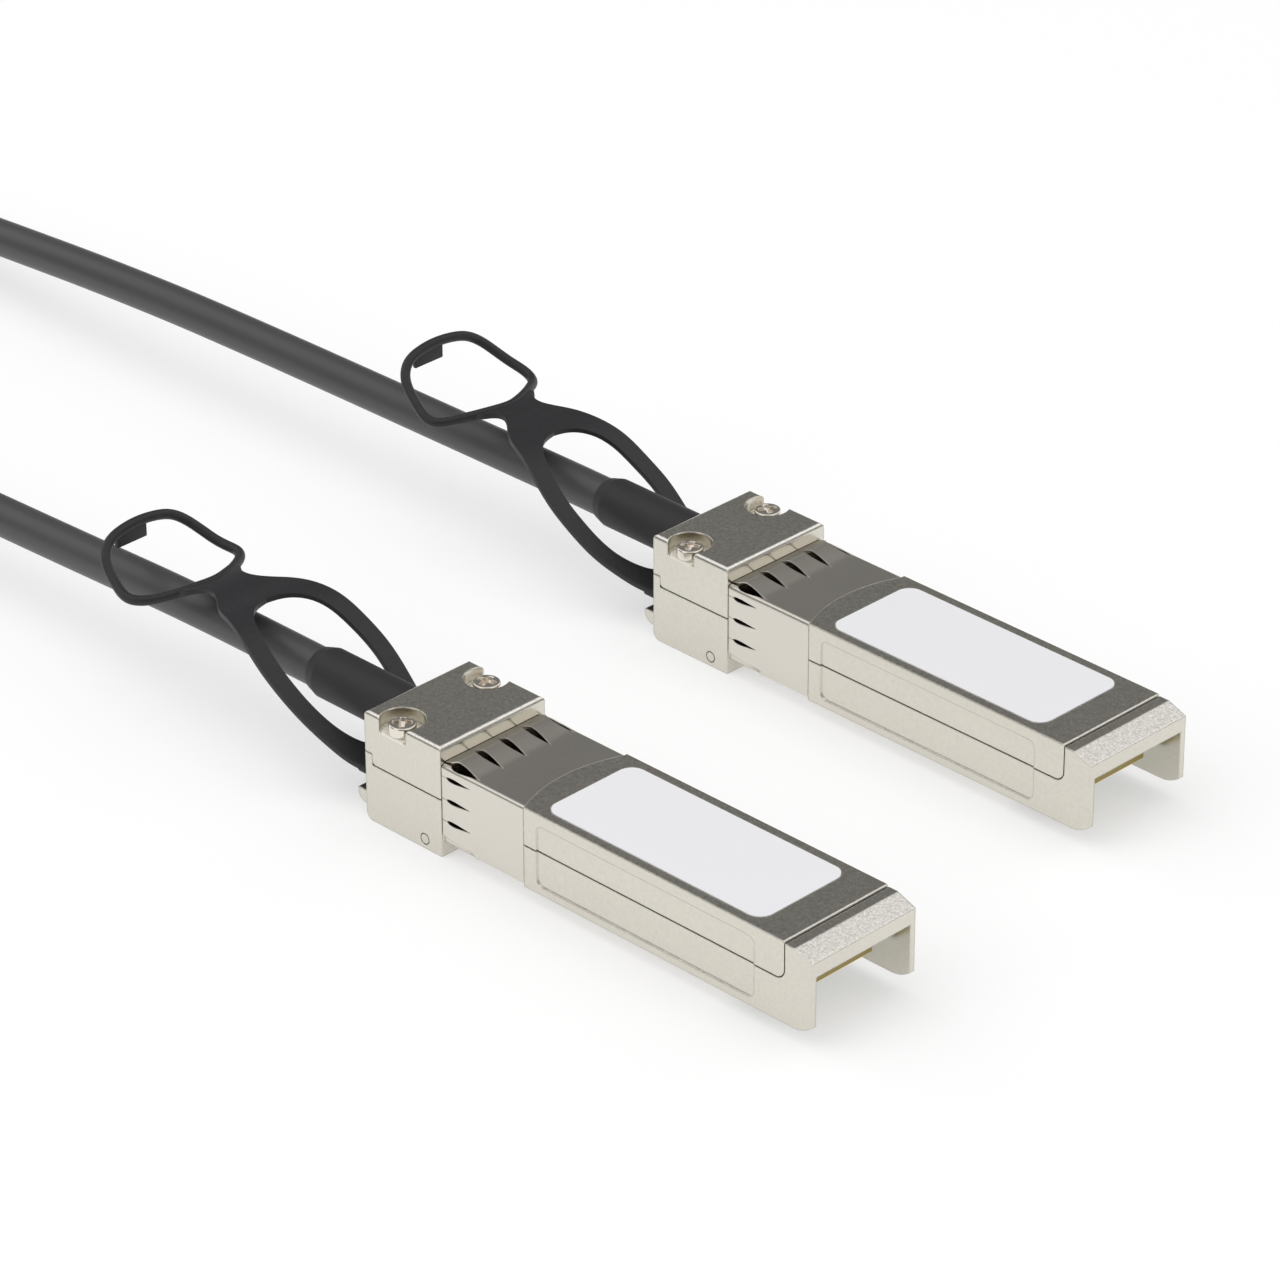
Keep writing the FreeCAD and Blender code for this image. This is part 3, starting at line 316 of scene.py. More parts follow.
# Rows of the sheet before the window, along it, at the waist and beside the loop, and columns of each side.
SHEET_ROWS = (9, 90, 26, 16)
SHEET_COLUMNS = 11
LOOP_STEPS = 180
BEND_SAMPLES = 2000
OUTLINE_SAMPLES = 600


def bend_of(end):
    """A function from distance along the tab and from its middle to a point and two directions there."""
    line, length = smooth_line([(x - BACKSHELL_LENGTH, z) for x, z in TAB_BEND[end]])
    fine = np.linspace(0, length, BEND_SAMPLES)
    spots = line(fine)
    travelled = np.concatenate([[0], np.cumsum(np.linalg.norm(np.diff(spots, axis=0), axis=1))])
    slope = np.gradient(spots, travelled, axis=0)
    back, aside, width = TAB_LOOP_SET[end]

    def at(distance, y):
        set_off = eased((distance - LOOP_SET_RUN[0]) / LOOP_SET_RUN[1])
        distance = distance + back * set_off
        y = y * (1 + (width - 1) * set_off) + aside * set_off
        x, z = (np.interp(distance, travelled, spots[:, axis]) for axis in (0, 1))
        along_x, along_z = (np.interp(distance, travelled, slope[:, axis]) for axis in (0, 1))
        size = np.hypot(along_x, along_z)
        nothing = np.zeros_like(x)
        along = np.stack([along_x / size, nothing, along_z / size], axis=-1)
        upright = np.stack([-along_z / size, nothing, along_x / size], axis=-1)
        upright *= np.sign(upright[..., 2:3])
        return np.stack([x, np.asarray(y) + nothing, z], axis=-1), along, upright

    return at


def half_width(pairs, distance):
    """The half width of an outline at each distance, where the outline doesn't turn back."""
    line, length = smooth_line(pairs)
    fine = line(np.linspace(0, length, OUTLINE_SAMPLES))
    return np.interp(distance, fine[:, 0], fine[:, 1])


def tab_sheet(bend):
    """The flat stretch of the tab: rows along it, each from the inner to the outer edge."""
    window_start, window_end = TAB_WINDOW[0][0], TAB_WINDOW[-1][0]
    loop_start = TAB_LOOP[0][0]
    before, beside, waist, loop = SHEET_ROWS
    ease = (1 - np.cos(np.linspace(0, np.pi, beside))) / 2
    rows = np.concatenate([
        np.linspace(0, window_start, before)[:-1], window_start + (window_end - window_start) * ease,
        np.linspace(window_end, loop_start, waist)[1:], np.linspace(loop_start, SHEET_END, loop)[1:]])
    outer = half_width(TAB_OUTSIDE, rows)
    front = [pair for pair in TAB_LOOP if pair[0] < LOOP_FRONT]
    inner = np.zeros_like(rows)
    in_window = (rows > window_start) & (rows < window_end)
    inner[in_window] = half_width(TAB_WINDOW, rows[in_window])
    inner[rows > loop_start] = half_width(front, rows[rows > loop_start])
    share = np.linspace(0, 1, SHEET_COLUMNS)
    half = inner[:, None] + np.maximum(outer - inner, 0)[:, None] * share[None, :]
    distance = np.repeat(rows[:, None], len(share), axis=1)
    sides = []
    for sign in (1, -1):
        points, along, upright = bend(distance, sign * half)
        quads = grid_faces(len(rows), len(share))
        sides.append((points.reshape(-1, 3), quads if sign > 0 else quads[:, ::-1]))
    vertices, faces = join_parts(sides)
    piece = new_piece("tab_sheet", vertices, faces)
    weld(piece, one_way=True)
    wall = piece.modifiers.new("wall", "SOLIDIFY")
    wall.thickness = TAB_SHEET
    wall.offset = 0
    rim = piece.modifiers.new("rim", "BEVEL")
    rim.width = RIM_BEVEL
    rim.segments = 3
    rim.limit_method = "ANGLE"
    rim.angle_limit = math.radians(50)
    return take_finished(piece)


def tab_bead(bend):
    """The round rim of the finger loop: a circle carried round the loop's line."""
    ahead = TAB_LOOP + [(along, -wide) for along, wide in TAB_LOOP[-2::-1]]
    # The line is started a few points early and ended late, so that it closes without a corner.
    extra = 4
    around = ahead[-1 - extra:-1] + ahead + ahead[1:1 + extra]
    line, length = smooth_line(around)
    steps = np.array(around, dtype=float)
    travelled = np.concatenate([[0], np.cumsum(np.linalg.norm(np.diff(steps, axis=0), axis=1))])
    flat = line(np.linspace(travelled[extra], travelled[-1 - extra], LOOP_STEPS + 1)[:-1])
    centre, along, upright = bend(flat[:, 0], flat[:, 1])
    forward = np.roll(centre, -1, axis=0) - np.roll(centre, 1, axis=0)
    forward /= np.linalg.norm(forward, axis=1)[:, None]
    across = np.cross(forward, upright)
    across /= np.linalg.norm(across, axis=1)[:, None]
    return tube(centre, across, np.cross(forward, across), TAB_BEAD / 2, closed=True)


def make_tab(end):
    """The sheet with its two arms, the loop's rim, the base in the slide and the tongue, as one piece."""
    bend = bend_of(end)
    rear = bend(np.array(TAB_LOOP[-1][0]), 0.0)[0]
    tongue = round_block((rear[0] + TONGUE_SHEET[0], LOOP_TONGUE[0], rear[2] - TONGUE_DROP),
                         (rear[0] + TONGUE_SHEET[1], LOOP_TONGUE[1], rear[2]), TONGUE_ROUND)
    parts = [tab_sheet(bend), tab_bead(bend), round_block(*TAB_BASE), tongue]
    vertices, faces = join_parts(parts)
    piece = new_piece("pull_tab_soft_" + end, placed(vertices, end), faces)
    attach(piece, "pull_" + end)
    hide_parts("pull_tab_" + end)
    return piece


# The spring collar, as it lies round the neck. Its section is a rounded square whose line runs out from the
# middle of the top, over the corner, down the flank and under. Slots are given by their place on that line.
COLLAR_TOP = 8.5
COLLAR_HALF = 6.725
COLLAR_ROUND = 0.4
COLLAR_FLANK = 7.65
COLLAR_SHEET = 0.13
COLLAR_REAR = 0.06
COLLAR_FINGERS = 4.9
COLLAR_FRONT = 10.9
COLLAR_BOW = (1.4, 6.375)
COLLAR_UNDER = (14.1, 0.5, 4.3)
COLLAR_END = 19.5
FINGER_ROWS = 56
BAND_ROWS = 7
FEWEST_COLUMNS = 12
COLUMNS_PER_MM = 8
TOP_SLOTS = (0.0, 3.1, 6.2)
FLANK_SLOTS = (7.65, 10.02, 12.38)
# Half a slot's width, and how far the fingers on top stand up, along X. On the flanks they stand up by a share.
TOP_LEAF = ((0, 0.05), (0.95, 0.07), (1.2, 0.30), (1.6, 0.40), (2.3, 0.41), (3.1, 0.31), (4.0, 0.13),
            (4.7, 0))
FLANK_LEAF = ((0, 0.02), (0.75, 0.02), (0.9, 0.16), (1.3, 0.23), (1.9, 0.23), (2.6, 0.15), (3.3, 0.07),
              (3.9, 0))
FINGER_BOW = ((0, 0.16), (0.8, 0.40), (1.35, 0.52), (1.9, 0.48), (2.8, 0.32), (3.7, 0.14), (4.4, 0.02),
              (4.9, 0))
FLANK_BOW = 0.18
BOW_SAMPLES = 300


def collar_section(line):
    """The section's Y and Z and its outward direction, at distances along its line, left ones negative.

    Two quarter circles of the corner's radius join the top, the flank and the underside."""
    out = np.abs(line)
    top = COLLAR_HALF - COLLAR_ROUND
    quarter = np.pi / 2 * COLLAR_ROUND
    first = np.clip((out - top) / COLLAR_ROUND, 0, np.pi / 2)
    low = top + quarter + COLLAR_FLANK
    second = np.clip((out - low) / COLLAR_ROUND, 0, np.pi / 2)
    y = (np.minimum(out, top) + COLLAR_ROUND * (np.sin(first) - 1 + np.cos(second))
         - np.maximum(out - low - quarter, 0))
    z = (COLLAR_TOP - COLLAR_ROUND * (1 - np.cos(first) + np.sin(second))
         - np.clip(out - top - quarter, 0, COLLAR_FLANK))
    side = np.where(line < 0, -1.0, 1.0)
    return side * y, z, side * np.sin(first + second), np.cos(first + second)


def make_collar(end):
    """The sheet between two slots is one patch: the slots' leaf lines bound it, and a bow lifts it."""
    right = list(TOP_SLOTS[1:] + FLANK_SLOTS) + [COLLAR_END]
    bounds = [-place for place in right[::-1]] + [0.0] + right
    x = np.concatenate([np.linspace(COLLAR_REAR, COLLAR_FINGERS, FINGER_ROWS), np.zeros(BAND_ROWS)])
    beyond = np.concatenate([np.zeros(FINGER_ROWS), np.linspace(0, 1, BAND_ROWS + 1)[1:]])

    def leaf(place):
        if abs(place) == COLLAR_END:
            return np.zeros_like(x)
        pairs = TOP_LEAF if abs(place) <= TOP_SLOTS[-1] else FLANK_LEAF
        return np.where(beyond > 0, 0, np.interp(x, *zip(*pairs)))

    bow_line, length = smooth_line(FINGER_BOW)
    bow_points = bow_line(np.linspace(0, length, BOW_SAMPLES))
    bow = np.where(beyond > 0, 0, np.interp(x, bow_points[:, 0], bow_points[:, 1]))
    parts = []
    for left, right_side in zip(bounds[:-1], bounds[1:]):
        columns = max(FEWEST_COLUMNS, int(COLUMNS_PER_MM * (right_side - left)))
        share = np.linspace(0, 1, columns)
        start, stop = left + leaf(left), right_side - leaf(right_side)
        line = start[:, None] + (stop - start)[:, None] * share[None, :]
        y, z, out_y, out_z = collar_section(line)
        front = np.where(np.abs(line) < COLLAR_BOW[1],
                         COLLAR_FRONT - COLLAR_BOW[0] * (1 - (line / COLLAR_BOW[1]) ** 2), COLLAR_FRONT)
        cut, over, setback = COLLAR_UNDER
        rear = setback * eased((np.abs(line) - cut) / over)
        along = np.where(beyond[:, None] > 0, COLLAR_FINGERS + (front - COLLAR_FINGERS) * beyond[:, None],
                         x[:, None] + rear * (COLLAR_FINGERS - x[:, None]) / (COLLAR_FINGERS - COLLAR_REAR))
        on_top = abs(left + right_side) / 2 < TOP_SLOTS[-1]
        lift = bow[:, None] * (1.0 if on_top else FLANK_BOW)
        points = np.stack([along, y + lift * out_y, z + lift * out_z], axis=-1)
        parts.append((points.reshape(-1, 3), grid_faces(len(x), columns)[:, ::-1]))
    vertices, faces = join_parts(parts)
    sheet = new_piece("collar_sheet", vertices, faces)
    weld(sheet)
    wall = sheet.modifiers.new("wall", "SOLIDIFY")
    wall.thickness = COLLAR_SHEET
    wall.offset = -1
    points, quads = take_finished(sheet)
    piece = new_piece("spring_collar_" + end, placed(points, end), quads)
    piece.data.set_sharp_from_angle(angle=math.radians(40))
    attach(piece, "plugs_and_cable")
    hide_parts("emi_collar_" + end)
    return piece


# The screws: a domed head with a rounded edge and a cross recess, and a plain shank, whose side is given as
# radii and heights. The recess is an arm's half width and length, its walls' slopes, the round hole in the
# middle, its depth there, and the share by which it is shallower at an arm's end.
SCREW_PLACE = (-6.5, 5.5)
NEAR_AXIS = 0.001
SCREW_TOP = 10.05
SCREW_FLAT = 1.2
SCREW_EDGE = 0.15
SCREW_CROWN = 0.12
SCREW_DOME = 0.26
SCREW_SIDE = ((1.35, 8.88), (0.7, 8.85), (0.7, 2.85), (NEAR_AXIS, 2.85))
CROSS_ARM = (0.23, 1.0)
CROSS_WALL = (0.07, 0.09, 0.2)
CROSS_HOLE = (0.46, 0.1)
CROSS_DEPTH = 0.8
CROSS_RISE = 0.75
SCREW_SIDES = 120
DOME_RINGS = 44
EDGE_RINGS = 5
SCREW_TURNS = {"near_a": 0.72, "far_a": 0.25, "near_b": 0.5, "far_b": 1.1}


def make_screw(side, end):
    """Circles of growing radius whose height is a dome less a cross recess, then the turned side.

    The recess is deepest in the middle, and its two arms have sloped walls."""
    turn = np.linspace(0, 2 * np.pi, SCREW_SIDES, endpoint=False)
    rounding = np.linspace(0, np.pi / 2, EDGE_RINGS + 1)[1:]
    radius = np.concatenate([np.linspace(NEAR_AXIS, SCREW_FLAT, DOME_RINGS),
                             SCREW_FLAT + SCREW_EDGE - SCREW_EDGE * np.cos(rounding)])
    reach, angle = np.meshgrid(radius, turn, indexing="ij")
    first = np.stack([reach * np.cos(angle), reach * np.sin(angle)])
    own = angle - SCREW_TURNS[side + "_" + end]
    one, other = np.abs(reach * np.cos(own)), np.abs(reach * np.sin(own))
    half, long = CROSS_ARM
    arms = [eased((half + CROSS_WALL[0] - across) / CROSS_WALL[1]) * eased((long - down) / CROSS_WALL[2])
            for across, down in ((one, other), (other, one))]
    middle = eased((CROSS_HOLE[0] - reach) / CROSS_HOLE[1])
    recess = np.maximum(np.maximum(*arms), middle) * CROSS_DEPTH
    recess = recess * (1 - CROSS_RISE * (reach / long) ** 2).clip(0)
    edge = np.clip((reach - SCREW_FLAT) / SCREW_EDGE, 0, 1)
    height = (SCREW_TOP - SCREW_CROWN * (reach / SCREW_FLAT) ** 2
              - (SCREW_DOME - SCREW_CROWN) * (1 - np.sqrt(1 - edge ** 2)) - recess)
    top = np.stack([first[0], first[1], height], axis=-1)
    side_radius, side_height = (np.array(values)[:, None] for values in zip(*SCREW_SIDE))
    lower = np.stack([side_radius * np.cos(turn), side_radius * np.sin(turn),
                      side_height + 0 * turn], axis=-1)
    rings = np.concatenate([top, lower])
    where = (SCREW_PLACE[0], -SCREW_PLACE[1] if side == "near" else SCREW_PLACE[1], 0)
    faces = grid_faces(len(rings), len(turn), close_columns=True)[:, ::-1].tolist()
    ring = np.arange(len(turn))
    faces += [ring.tolist(), (ring[::-1] + (len(rings) - 1) * len(turn)).tolist()]
    name = "cross_screw_" + side + "_" + end
    piece = new_piece(name, placed(rings.reshape(-1, 3) + where, end), faces)
    piece.data.set_sharp_from_angle(angle=math.radians(38))
    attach(piece, "plugs_and_cable")
    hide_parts("screw_" + side + "_" + end)
    return piece


# The leaf that holds the latch lever down: its upper line in X and Z, and its sheet and half width.
LEAF_LINE = ((0.4, 1.6), (1.4, 1.6), (4.4, 0.83), (4.8, 0.95))
LEAF_SHEET = 0.12
LEAF_HALF = 1.0
# Rows along the leaf's line.
LEAF_ROWS = 45


def make_leaf(end):
    """Four corners carried along the leaf's line."""
    x = np.linspace(LEAF_LINE[0][0], LEAF_LINE[-1][0], LEAF_ROWS)
    high = np.interp(x, *zip(*LEAF_LINE))
    low = high - LEAF_SHEET
    corners = ((LEAF_HALF, low), (LEAF_HALF, high), (-LEAF_HALF, high), (-LEAF_HALF, low))
    rows = np.stack([np.stack([x, wide + 0 * x, height], axis=-1) for wide, height in corners], axis=1)
    faces = grid_faces(len(x), 4, close_columns=True).tolist()
    last = 4 * (len(x) - 1)
    faces += [[3, 2, 1, 0], [last, last + 1, last + 2, last + 3]]
    piece = new_piece("leaf_spring_" + end, placed(rows.reshape(-1, 3), end), faces, smooth=False)
    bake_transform(piece)
    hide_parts("latch_spring_" + end)
    return piece


def new_group(name, inputs, outputs):
    """An empty shader group with its sockets; each input is a name, a socket type and a value."""
    group = bpy.data.node_groups.new(name, "ShaderNodeTree")
    for label, kind, value in inputs:
        socket = group.interface.new_socket(label, in_out="INPUT", socket_type="NodeSocket" + kind)
        if value is not None:
            socket.default_value = value
    for label, kind in outputs:
        group.interface.new_socket(label, in_out="OUTPUT", socket_type="NodeSocket" + kind)
    return group, group.nodes.new("NodeGroupInput"), group.nodes.new("NodeGroupOutput")


def add(tree, kind, **settings):
    """A shader node of the given kind, with its settings."""
    node = tree.nodes.new("ShaderNode" + kind)
    for name, value in settings.items():
        setattr(node, name, value)
    return node


def noise(tree, scale, detail=2.0, rough=0.5):
    """A noise node, whose scale is about the number of its spots in a metre."""
    node = add(tree, "TexNoise")
    node.inputs["Scale"].default_value = scale
    node.inputs["Detail"].default_value = detail
    node.inputs["Roughness"].default_value = rough
    return node


# The coarse grain's scale, as a share of the fine grain's.
COARSE_GRAIN = 0.42


def make_grain_group():
    """Fine blasted grain: two sizes of noise as a height, and a slow cloud that varies the colour."""
    group, given, out = new_group("blasted_grain", [
        ("Color", "Color", (0.7, 0.7, 0.7, 1)), ("Grain", "Float", 4000.0), ("Cloud", "Float", 120.0),
        ("Variation", "Float", 0.06), ("Speckle", "Float", 0.0), ("Roughness", "Float", 0.3),
        ("Position", "Vector", None)],
        [("Color", "Color"), ("Roughness", "Float"), ("Height", "Float")])
    fine, coarse, cloud = noise(group, 1), noise(group, 1), noise(group, 1, detail=3)
    half = add(group, "Math", operation="MULTIPLY")
    half.inputs[1].default_value = COARSE_GRAIN
    link = group.links.new
    link(given.outputs["Grain"], fine.inputs["Scale"])
    link(given.outputs["Grain"], half.inputs[0])
    link(half.outputs[0], coarse.inputs["Scale"])
    link(given.outputs["Cloud"], cloud.inputs["Scale"])
    for node in (fine, coarse, cloud):
        link(given.outputs["Position"], node.inputs["Vector"])
    height = add(group, "Math", operation="ADD")
    link(fine.outputs["Fac"], height.inputs[0])
    link(coarse.outputs["Fac"], height.inputs[1])
    link(height.outputs[0], out.inputs["Height"])
    swing = add(group, "Math", operation="SUBTRACT")
    swing.inputs[1].default_value = 0.5
    link(cloud.outputs["Fac"], swing.inputs[0])
    amount = add(group, "Math", operation="MULTIPLY")
    link(swing.outputs[0], amount.inputs[0])
    link(given.outputs["Variation"], amount.inputs[1])
    speck = add(group, "Math", operation="SUBTRACT")
    speck.inputs[1].default_value = 1.0
    link(height.outputs[0], speck.inputs[0])
    specks = add(group, "Math", operation="MULTIPLY_ADD")
    specks.inputs[2].default_value = 1.0
    link(speck.outputs[0], specks.inputs[0])
    link(given.outputs["Speckle"], specks.inputs[1])
    bright = add(group, "Math", operation="ADD")
    link(amount.outputs[0], bright.inputs[0])
    link(specks.outputs[0], bright.inputs[1])
    tint = add(group, "VectorMath", operation="SCALE")
    link(given.outputs["Color"], tint.inputs[0])
    link(bright.outputs[0], tint.inputs["Scale"])
    link(tint.outputs[0], out.inputs["Color"])
    rough = add(group, "Math", operation="ADD")
    link(given.outputs["Roughness"], rough.inputs[0])
    link(amount.outputs[0], rough.inputs[1])
    link(rough.outputs[0], out.inputs["Roughness"])
    return group


GRAIN = make_grain_group()


def new_material(name, color, roughness, metallic=0.0, grain=4000.0, cloud=120.0, variation=0.05,
                 speckle=0.0, bump=0.0, depth=0.00002, edge=0.0, specular=0.5):
    """A principled material whose colour, gloss and relief come from the grain group.

    edge is the radius, in millimetres, of the small rounding that the relief gives to sharp edges."""
    material = bpy.data.materials.new(name)
    material.use_nodes = True
    tree = material.node_tree
    shader = tree.nodes["Principled BSDF"]
    shader.inputs["Metallic"].default_value = metallic
    shader.inputs["Specular IOR Level"].default_value = specular
    place = add(tree, "TexCoord")
    group = add(tree, "Group")
    group.node_tree = GRAIN
    for label, value in {"Color": (*color, 1), "Grain": grain, "Cloud": cloud, "Variation": variation,
                         "Speckle": speckle, "Roughness": roughness}.items():
        group.inputs[label].default_value = value
    link = tree.links.new
    link(place.outputs["Object"], group.inputs["Position"])
    link(group.outputs["Color"], shader.inputs["Base Color"])
    link(group.outputs["Roughness"], shader.inputs["Roughness"])
    relief = add(tree, "Bump")
    relief.inputs["Strength"].default_value = bump
    relief.inputs["Distance"].default_value = depth
    link(group.outputs["Height"], relief.inputs["Height"])
    link(relief.outputs["Normal"], shader.inputs["Normal"])
    if edge:
        corner = add(tree, "Bevel", samples=6)
        corner.inputs["Radius"].default_value = edge * MM
        link(corner.outputs["Normal"], relief.inputs["Normal"])
    return material


def in_plug(tree, end):
    """Object coordinates in the plug's own frame, in metres."""
    place = add(tree, "TexCoord")
    turned = add(tree, "Mapping")
    back = POSE[end].inverted()
    turned.inputs["Location"].default_value = back.translation * MM
    turned.inputs["Rotation"].default_value = back.to_euler()
    tree.links.new(place.outputs["Object"], turned.inputs["Vector"])
    return turned.outputs["Vector"]


def product(tree, factors):
    """The product of several 0 to 1 masks."""
    result = factors[0]
    for factor in factors[1:]:
        node = add(tree, "Math", operation="MULTIPLY")
        tree.links.new(result, node.inputs[0])
        tree.links.new(factor, node.inputs[1])
        result = node.outputs[0]
    return result


def step(tree, value, low, high, unit=MM):
    """A mask that is 1 where the value lies between low and high, which are in millimetres without a unit."""
    masks = []
    for limit, operation in ((low, "GREATER_THAN"), (high, "LESS_THAN")):
        node = add(tree, "Math", operation=operation)
        node.inputs[1].default_value = limit * unit
        tree.links.new(value, node.inputs[0])
        masks.append(node.outputs[0])
    return product(tree, masks)


def darken(material, mask, color):
    """Puts another colour where the mask is 1."""
    tree = material.node_tree
    socket = tree.nodes["Principled BSDF"].inputs["Base Color"]
    before = socket.links[0].from_socket
    mix = add(tree, "Mix", data_type="RGBA")
    mix.inputs["B"].default_value = (*color, 1)
    tree.links.new(mask, mix.inputs["Factor"])
    tree.links.new(before, mix.inputs["A"])
    tree.links.new(mix.outputs["Result"], socket)


def soften(material, mask, metallic):
    """Lowers the metal share to the given one where the mask is 1."""
    tree = material.node_tree
    socket = tree.nodes["Principled BSDF"].inputs["Metallic"]
    mix = add(tree, "Mix", data_type="FLOAT")
    mix.inputs["A"].default_value = socket.default_value
    mix.inputs["B"].default_value = metallic
    if socket.links:
        tree.links.new(socket.links[0].from_socket, mix.inputs["A"])
    tree.links.new(mask, mix.inputs["Factor"])
    tree.links.new(mix.outputs["Result"], socket)


def reach_from(tree, place, centre, plane=(1, 0, 1)):
    """The distance in a plane from a centre, given in millimetres."""
    away = add(tree, "VectorMath", operation="SUBTRACT")
    away.inputs[1].default_value = tuple(value * MM for value in centre)
    tree.links.new(place, away.inputs[0])
    flat = add(tree, "VectorMath", operation="MULTIPLY")
    flat.inputs[1].default_value = plane
    tree.links.new(away.outputs["Vector"], flat.inputs[0])
    reach = add(tree, "VectorMath", operation="LENGTH")
    tree.links.new(flat.outputs["Vector"], reach.inputs[0])
    return reach.outputs["Value"]


# The pin's axis, and the radii between which its end is painted dark as shade where its chamfer meets the bore.
PIN_PLACE = (-2.3, 0, -0.45)
PIN_SHADE_RING = (0.49, 2.0)
PIN_SHADE_COLOR = (0.10, 0.09, 0.075)


def make_pin_metal(end):
    """The pin's ground end, with a ring of painted shade round it where its chamfer meets the bore."""
    material = new_material("ground_pin_" + end, (0.68, 0.65, 0.58), 0.26, metallic=1.0, bump=0.1)
    tree = material.node_tree
    reach = reach_from(tree, in_plug(tree, end), PIN_PLACE)
    # Painted shade: a dark ring round the pin's end.
    darken(material, step(tree, reach, *PIN_SHADE_RING), PIN_SHADE_COLOR)
    return material


# Where painted shade darkens a plug's castings: the neck's groove under the fingers, and the faces of the joint
# between them. Each is a range in X, Y and Z; the joint's corner is a quarter ring about a centre in X and Z.
SHADE_UNDER_FINGERS = ((0.35, 4.1), (-6.5, 6.5), (0.6, 8.3))
JOINT_SHADE_FACES = (((10.9, 43.1), (-9, 9), (4.445, 4.555)), ((-9.35, 0), (-9, 9), (4.695, 4.805)),
               ((44.095, 44.205), (-9, 9), (5.55, 8.3)))
JOINT_CORNER = (43.1, 0, 5.55)
JOINT_SHADE_RING = (0.995, 1.105)
BEYOND_NOSE = 50
# Colours of painted shade: in the shell joints, and in the groove under the fingers.
JOINT_SHADE_COLOR = (0.05, 0.045, 0.04)
GROOVE_SHADE_COLOR = (0.13, 0.11, 0.09)
# The nose's slope carries a painted highlight: its colour, and the range of its normal's Z in which it applies.
SLOPE_HIGHLIGHT_COLOR = (0.84, 0.81, 0.755)
SLOPE_HIGHLIGHT_NORMAL = (0.5, 0.985)
# The screw seats are painted pale, with less metal, as a painted reflection: the radius they lie within, and
# their lowest and highest Z.
SCREW_SEAT = (1.97, 8.6, 10.2)
SEAT_SHEEN_COLOR = (0.88, 0.84, 0.74)
SEAT_SHEEN_METALLIC = 0.2
# Relief and speckle grow from the second to the third value, while the normal's Z grows from the first
# value to FACING_UP.
FACING_UP = 0.99
RELIEF_UPWARD = (0.5, 0.16, 0.5)
SPECKLE_UPWARD = (0.6, 0.12, 0.65)


def make_shell_metal(end):
    """Nickel on cast zinc: smooth flanks, a blasted grain on what faces up, and a painted highlight on the
    slope at the nose.

    The neck under the fingers and the faces of the joint carry painted shade, and the screw seats a pale
    painted reflection."""
    material = new_material("satin_nickel_" + end, (0.69, 0.66, 0.585), 0.24, metallic=1.0, grain=6500.0,
                            variation=0.05, bump=0.2, depth=0.00002, edge=0.24)
    tree = material.node_tree
    link = tree.links.new
    relief = next(node for node in tree.nodes if node.type == "BUMP")
    group = next(node for node in tree.nodes if node.type == "GROUP")
    surface = add(tree, "NewGeometry")
    split = add(tree, "SeparateXYZ")
    link(surface.outputs["Normal"], split.inputs[0])
    for (start, low, high), socket in ((RELIEF_UPWARD, relief.inputs["Strength"]),
                                       (SPECKLE_UPWARD, group.inputs["Speckle"])):
        up = add(tree, "MapRange")
        up.inputs["From Min"].default_value = start
        up.inputs["From Max"].default_value = FACING_UP
        up.inputs["To Min"].default_value = low
        up.inputs["To Max"].default_value = high
        link(split.outputs["Z"], up.inputs["Value"])
        link(up.outputs["Result"], socket)
    # Painted highlight: the slope's colour is brighter where the normal's Z lies in its range.
    slope = add(tree, "Mix", data_type="RGBA")
    slope.inputs["A"].default_value = group.inputs["Color"].default_value
    slope.inputs["B"].default_value = (*SLOPE_HIGHLIGHT_COLOR, 1)
    link(step(tree, split.outputs["Z"], *SLOPE_HIGHLIGHT_NORMAL, unit=1), slope.inputs["Factor"])
    link(slope.outputs["Result"], group.inputs["Color"])
    spot = add(tree, "SeparateXYZ")
    link(in_plug(tree, end), spot.inputs[0])
    # Painted shade in the groove under the fingers and on the joint faces.
    for place in (SHADE_UNDER_FINGERS,) + JOINT_SHADE_FACES:
        masks = [step(tree, spot.outputs[axis], *limits) for axis, limits in zip("XYZ", place)]
        darken(material, product(tree, masks), GROOVE_SHADE_COLOR if place is SHADE_UNDER_FINGERS else JOINT_SHADE_COLOR)
    # Painted reflection: the screw seats are pale and less metallic, so that they catch the room's light.
    for side in (-1, 1):
        centre = (SCREW_PLACE[0], side * SCREW_PLACE[1], 0)
        reach = reach_from(tree, in_plug(tree, end), centre, plane=(1, 1, 0))
        seat = product(tree, [step(tree, reach, -1, SCREW_SEAT[0]),
                              step(tree, spot.outputs["Z"], *SCREW_SEAT[1:])])
        darken(material, seat, SEAT_SHEEN_COLOR)
        soften(material, seat, SEAT_SHEEN_METALLIC)
    # Painted shade on the quarter ring of the joint's corner.
    reach = reach_from(tree, in_plug(tree, end), JOINT_CORNER)
    corner = [step(tree, spot.outputs["X"], JOINT_CORNER[0], BEYOND_NOSE),
              step(tree, spot.outputs["Z"], 0, JOINT_CORNER[2]), step(tree, reach, *JOINT_SHADE_RING)]
    darken(material, product(tree, corner), JOINT_SHADE_COLOR)
    return material


BOARD_CORE = (0.33, 0.25, 0.06)


def make_board_material():
    """Green mask on the faces, and the bare tan core on the cut edges."""
    material = new_material("circuit_board", (0.02, 0.11, 0.045), 0.35, grain=2500.0, variation=0.1)
    tree = material.node_tree
    link = tree.links.new
    shader = tree.nodes["Principled BSDF"]
    surface = add(tree, "NewGeometry")
    split = add(tree, "SeparateXYZ")
    link(surface.outputs["Normal"], split.inputs[0])
    flat = add(tree, "Math", operation="ABSOLUTE")
    link(split.outputs["Z"], flat.inputs[0])
    mix = add(tree, "Mix", data_type="RGBA")
    mix.inputs["A"].default_value = (*BOARD_CORE, 1)
    link(flat.outputs[0], mix.inputs["Factor"])
    group = next(node for node in tree.nodes if node.type == "GROUP")
    link(group.outputs["Color"], mix.inputs["B"])
    link(mix.outputs["Result"], shader.inputs["Base Color"])
    return material


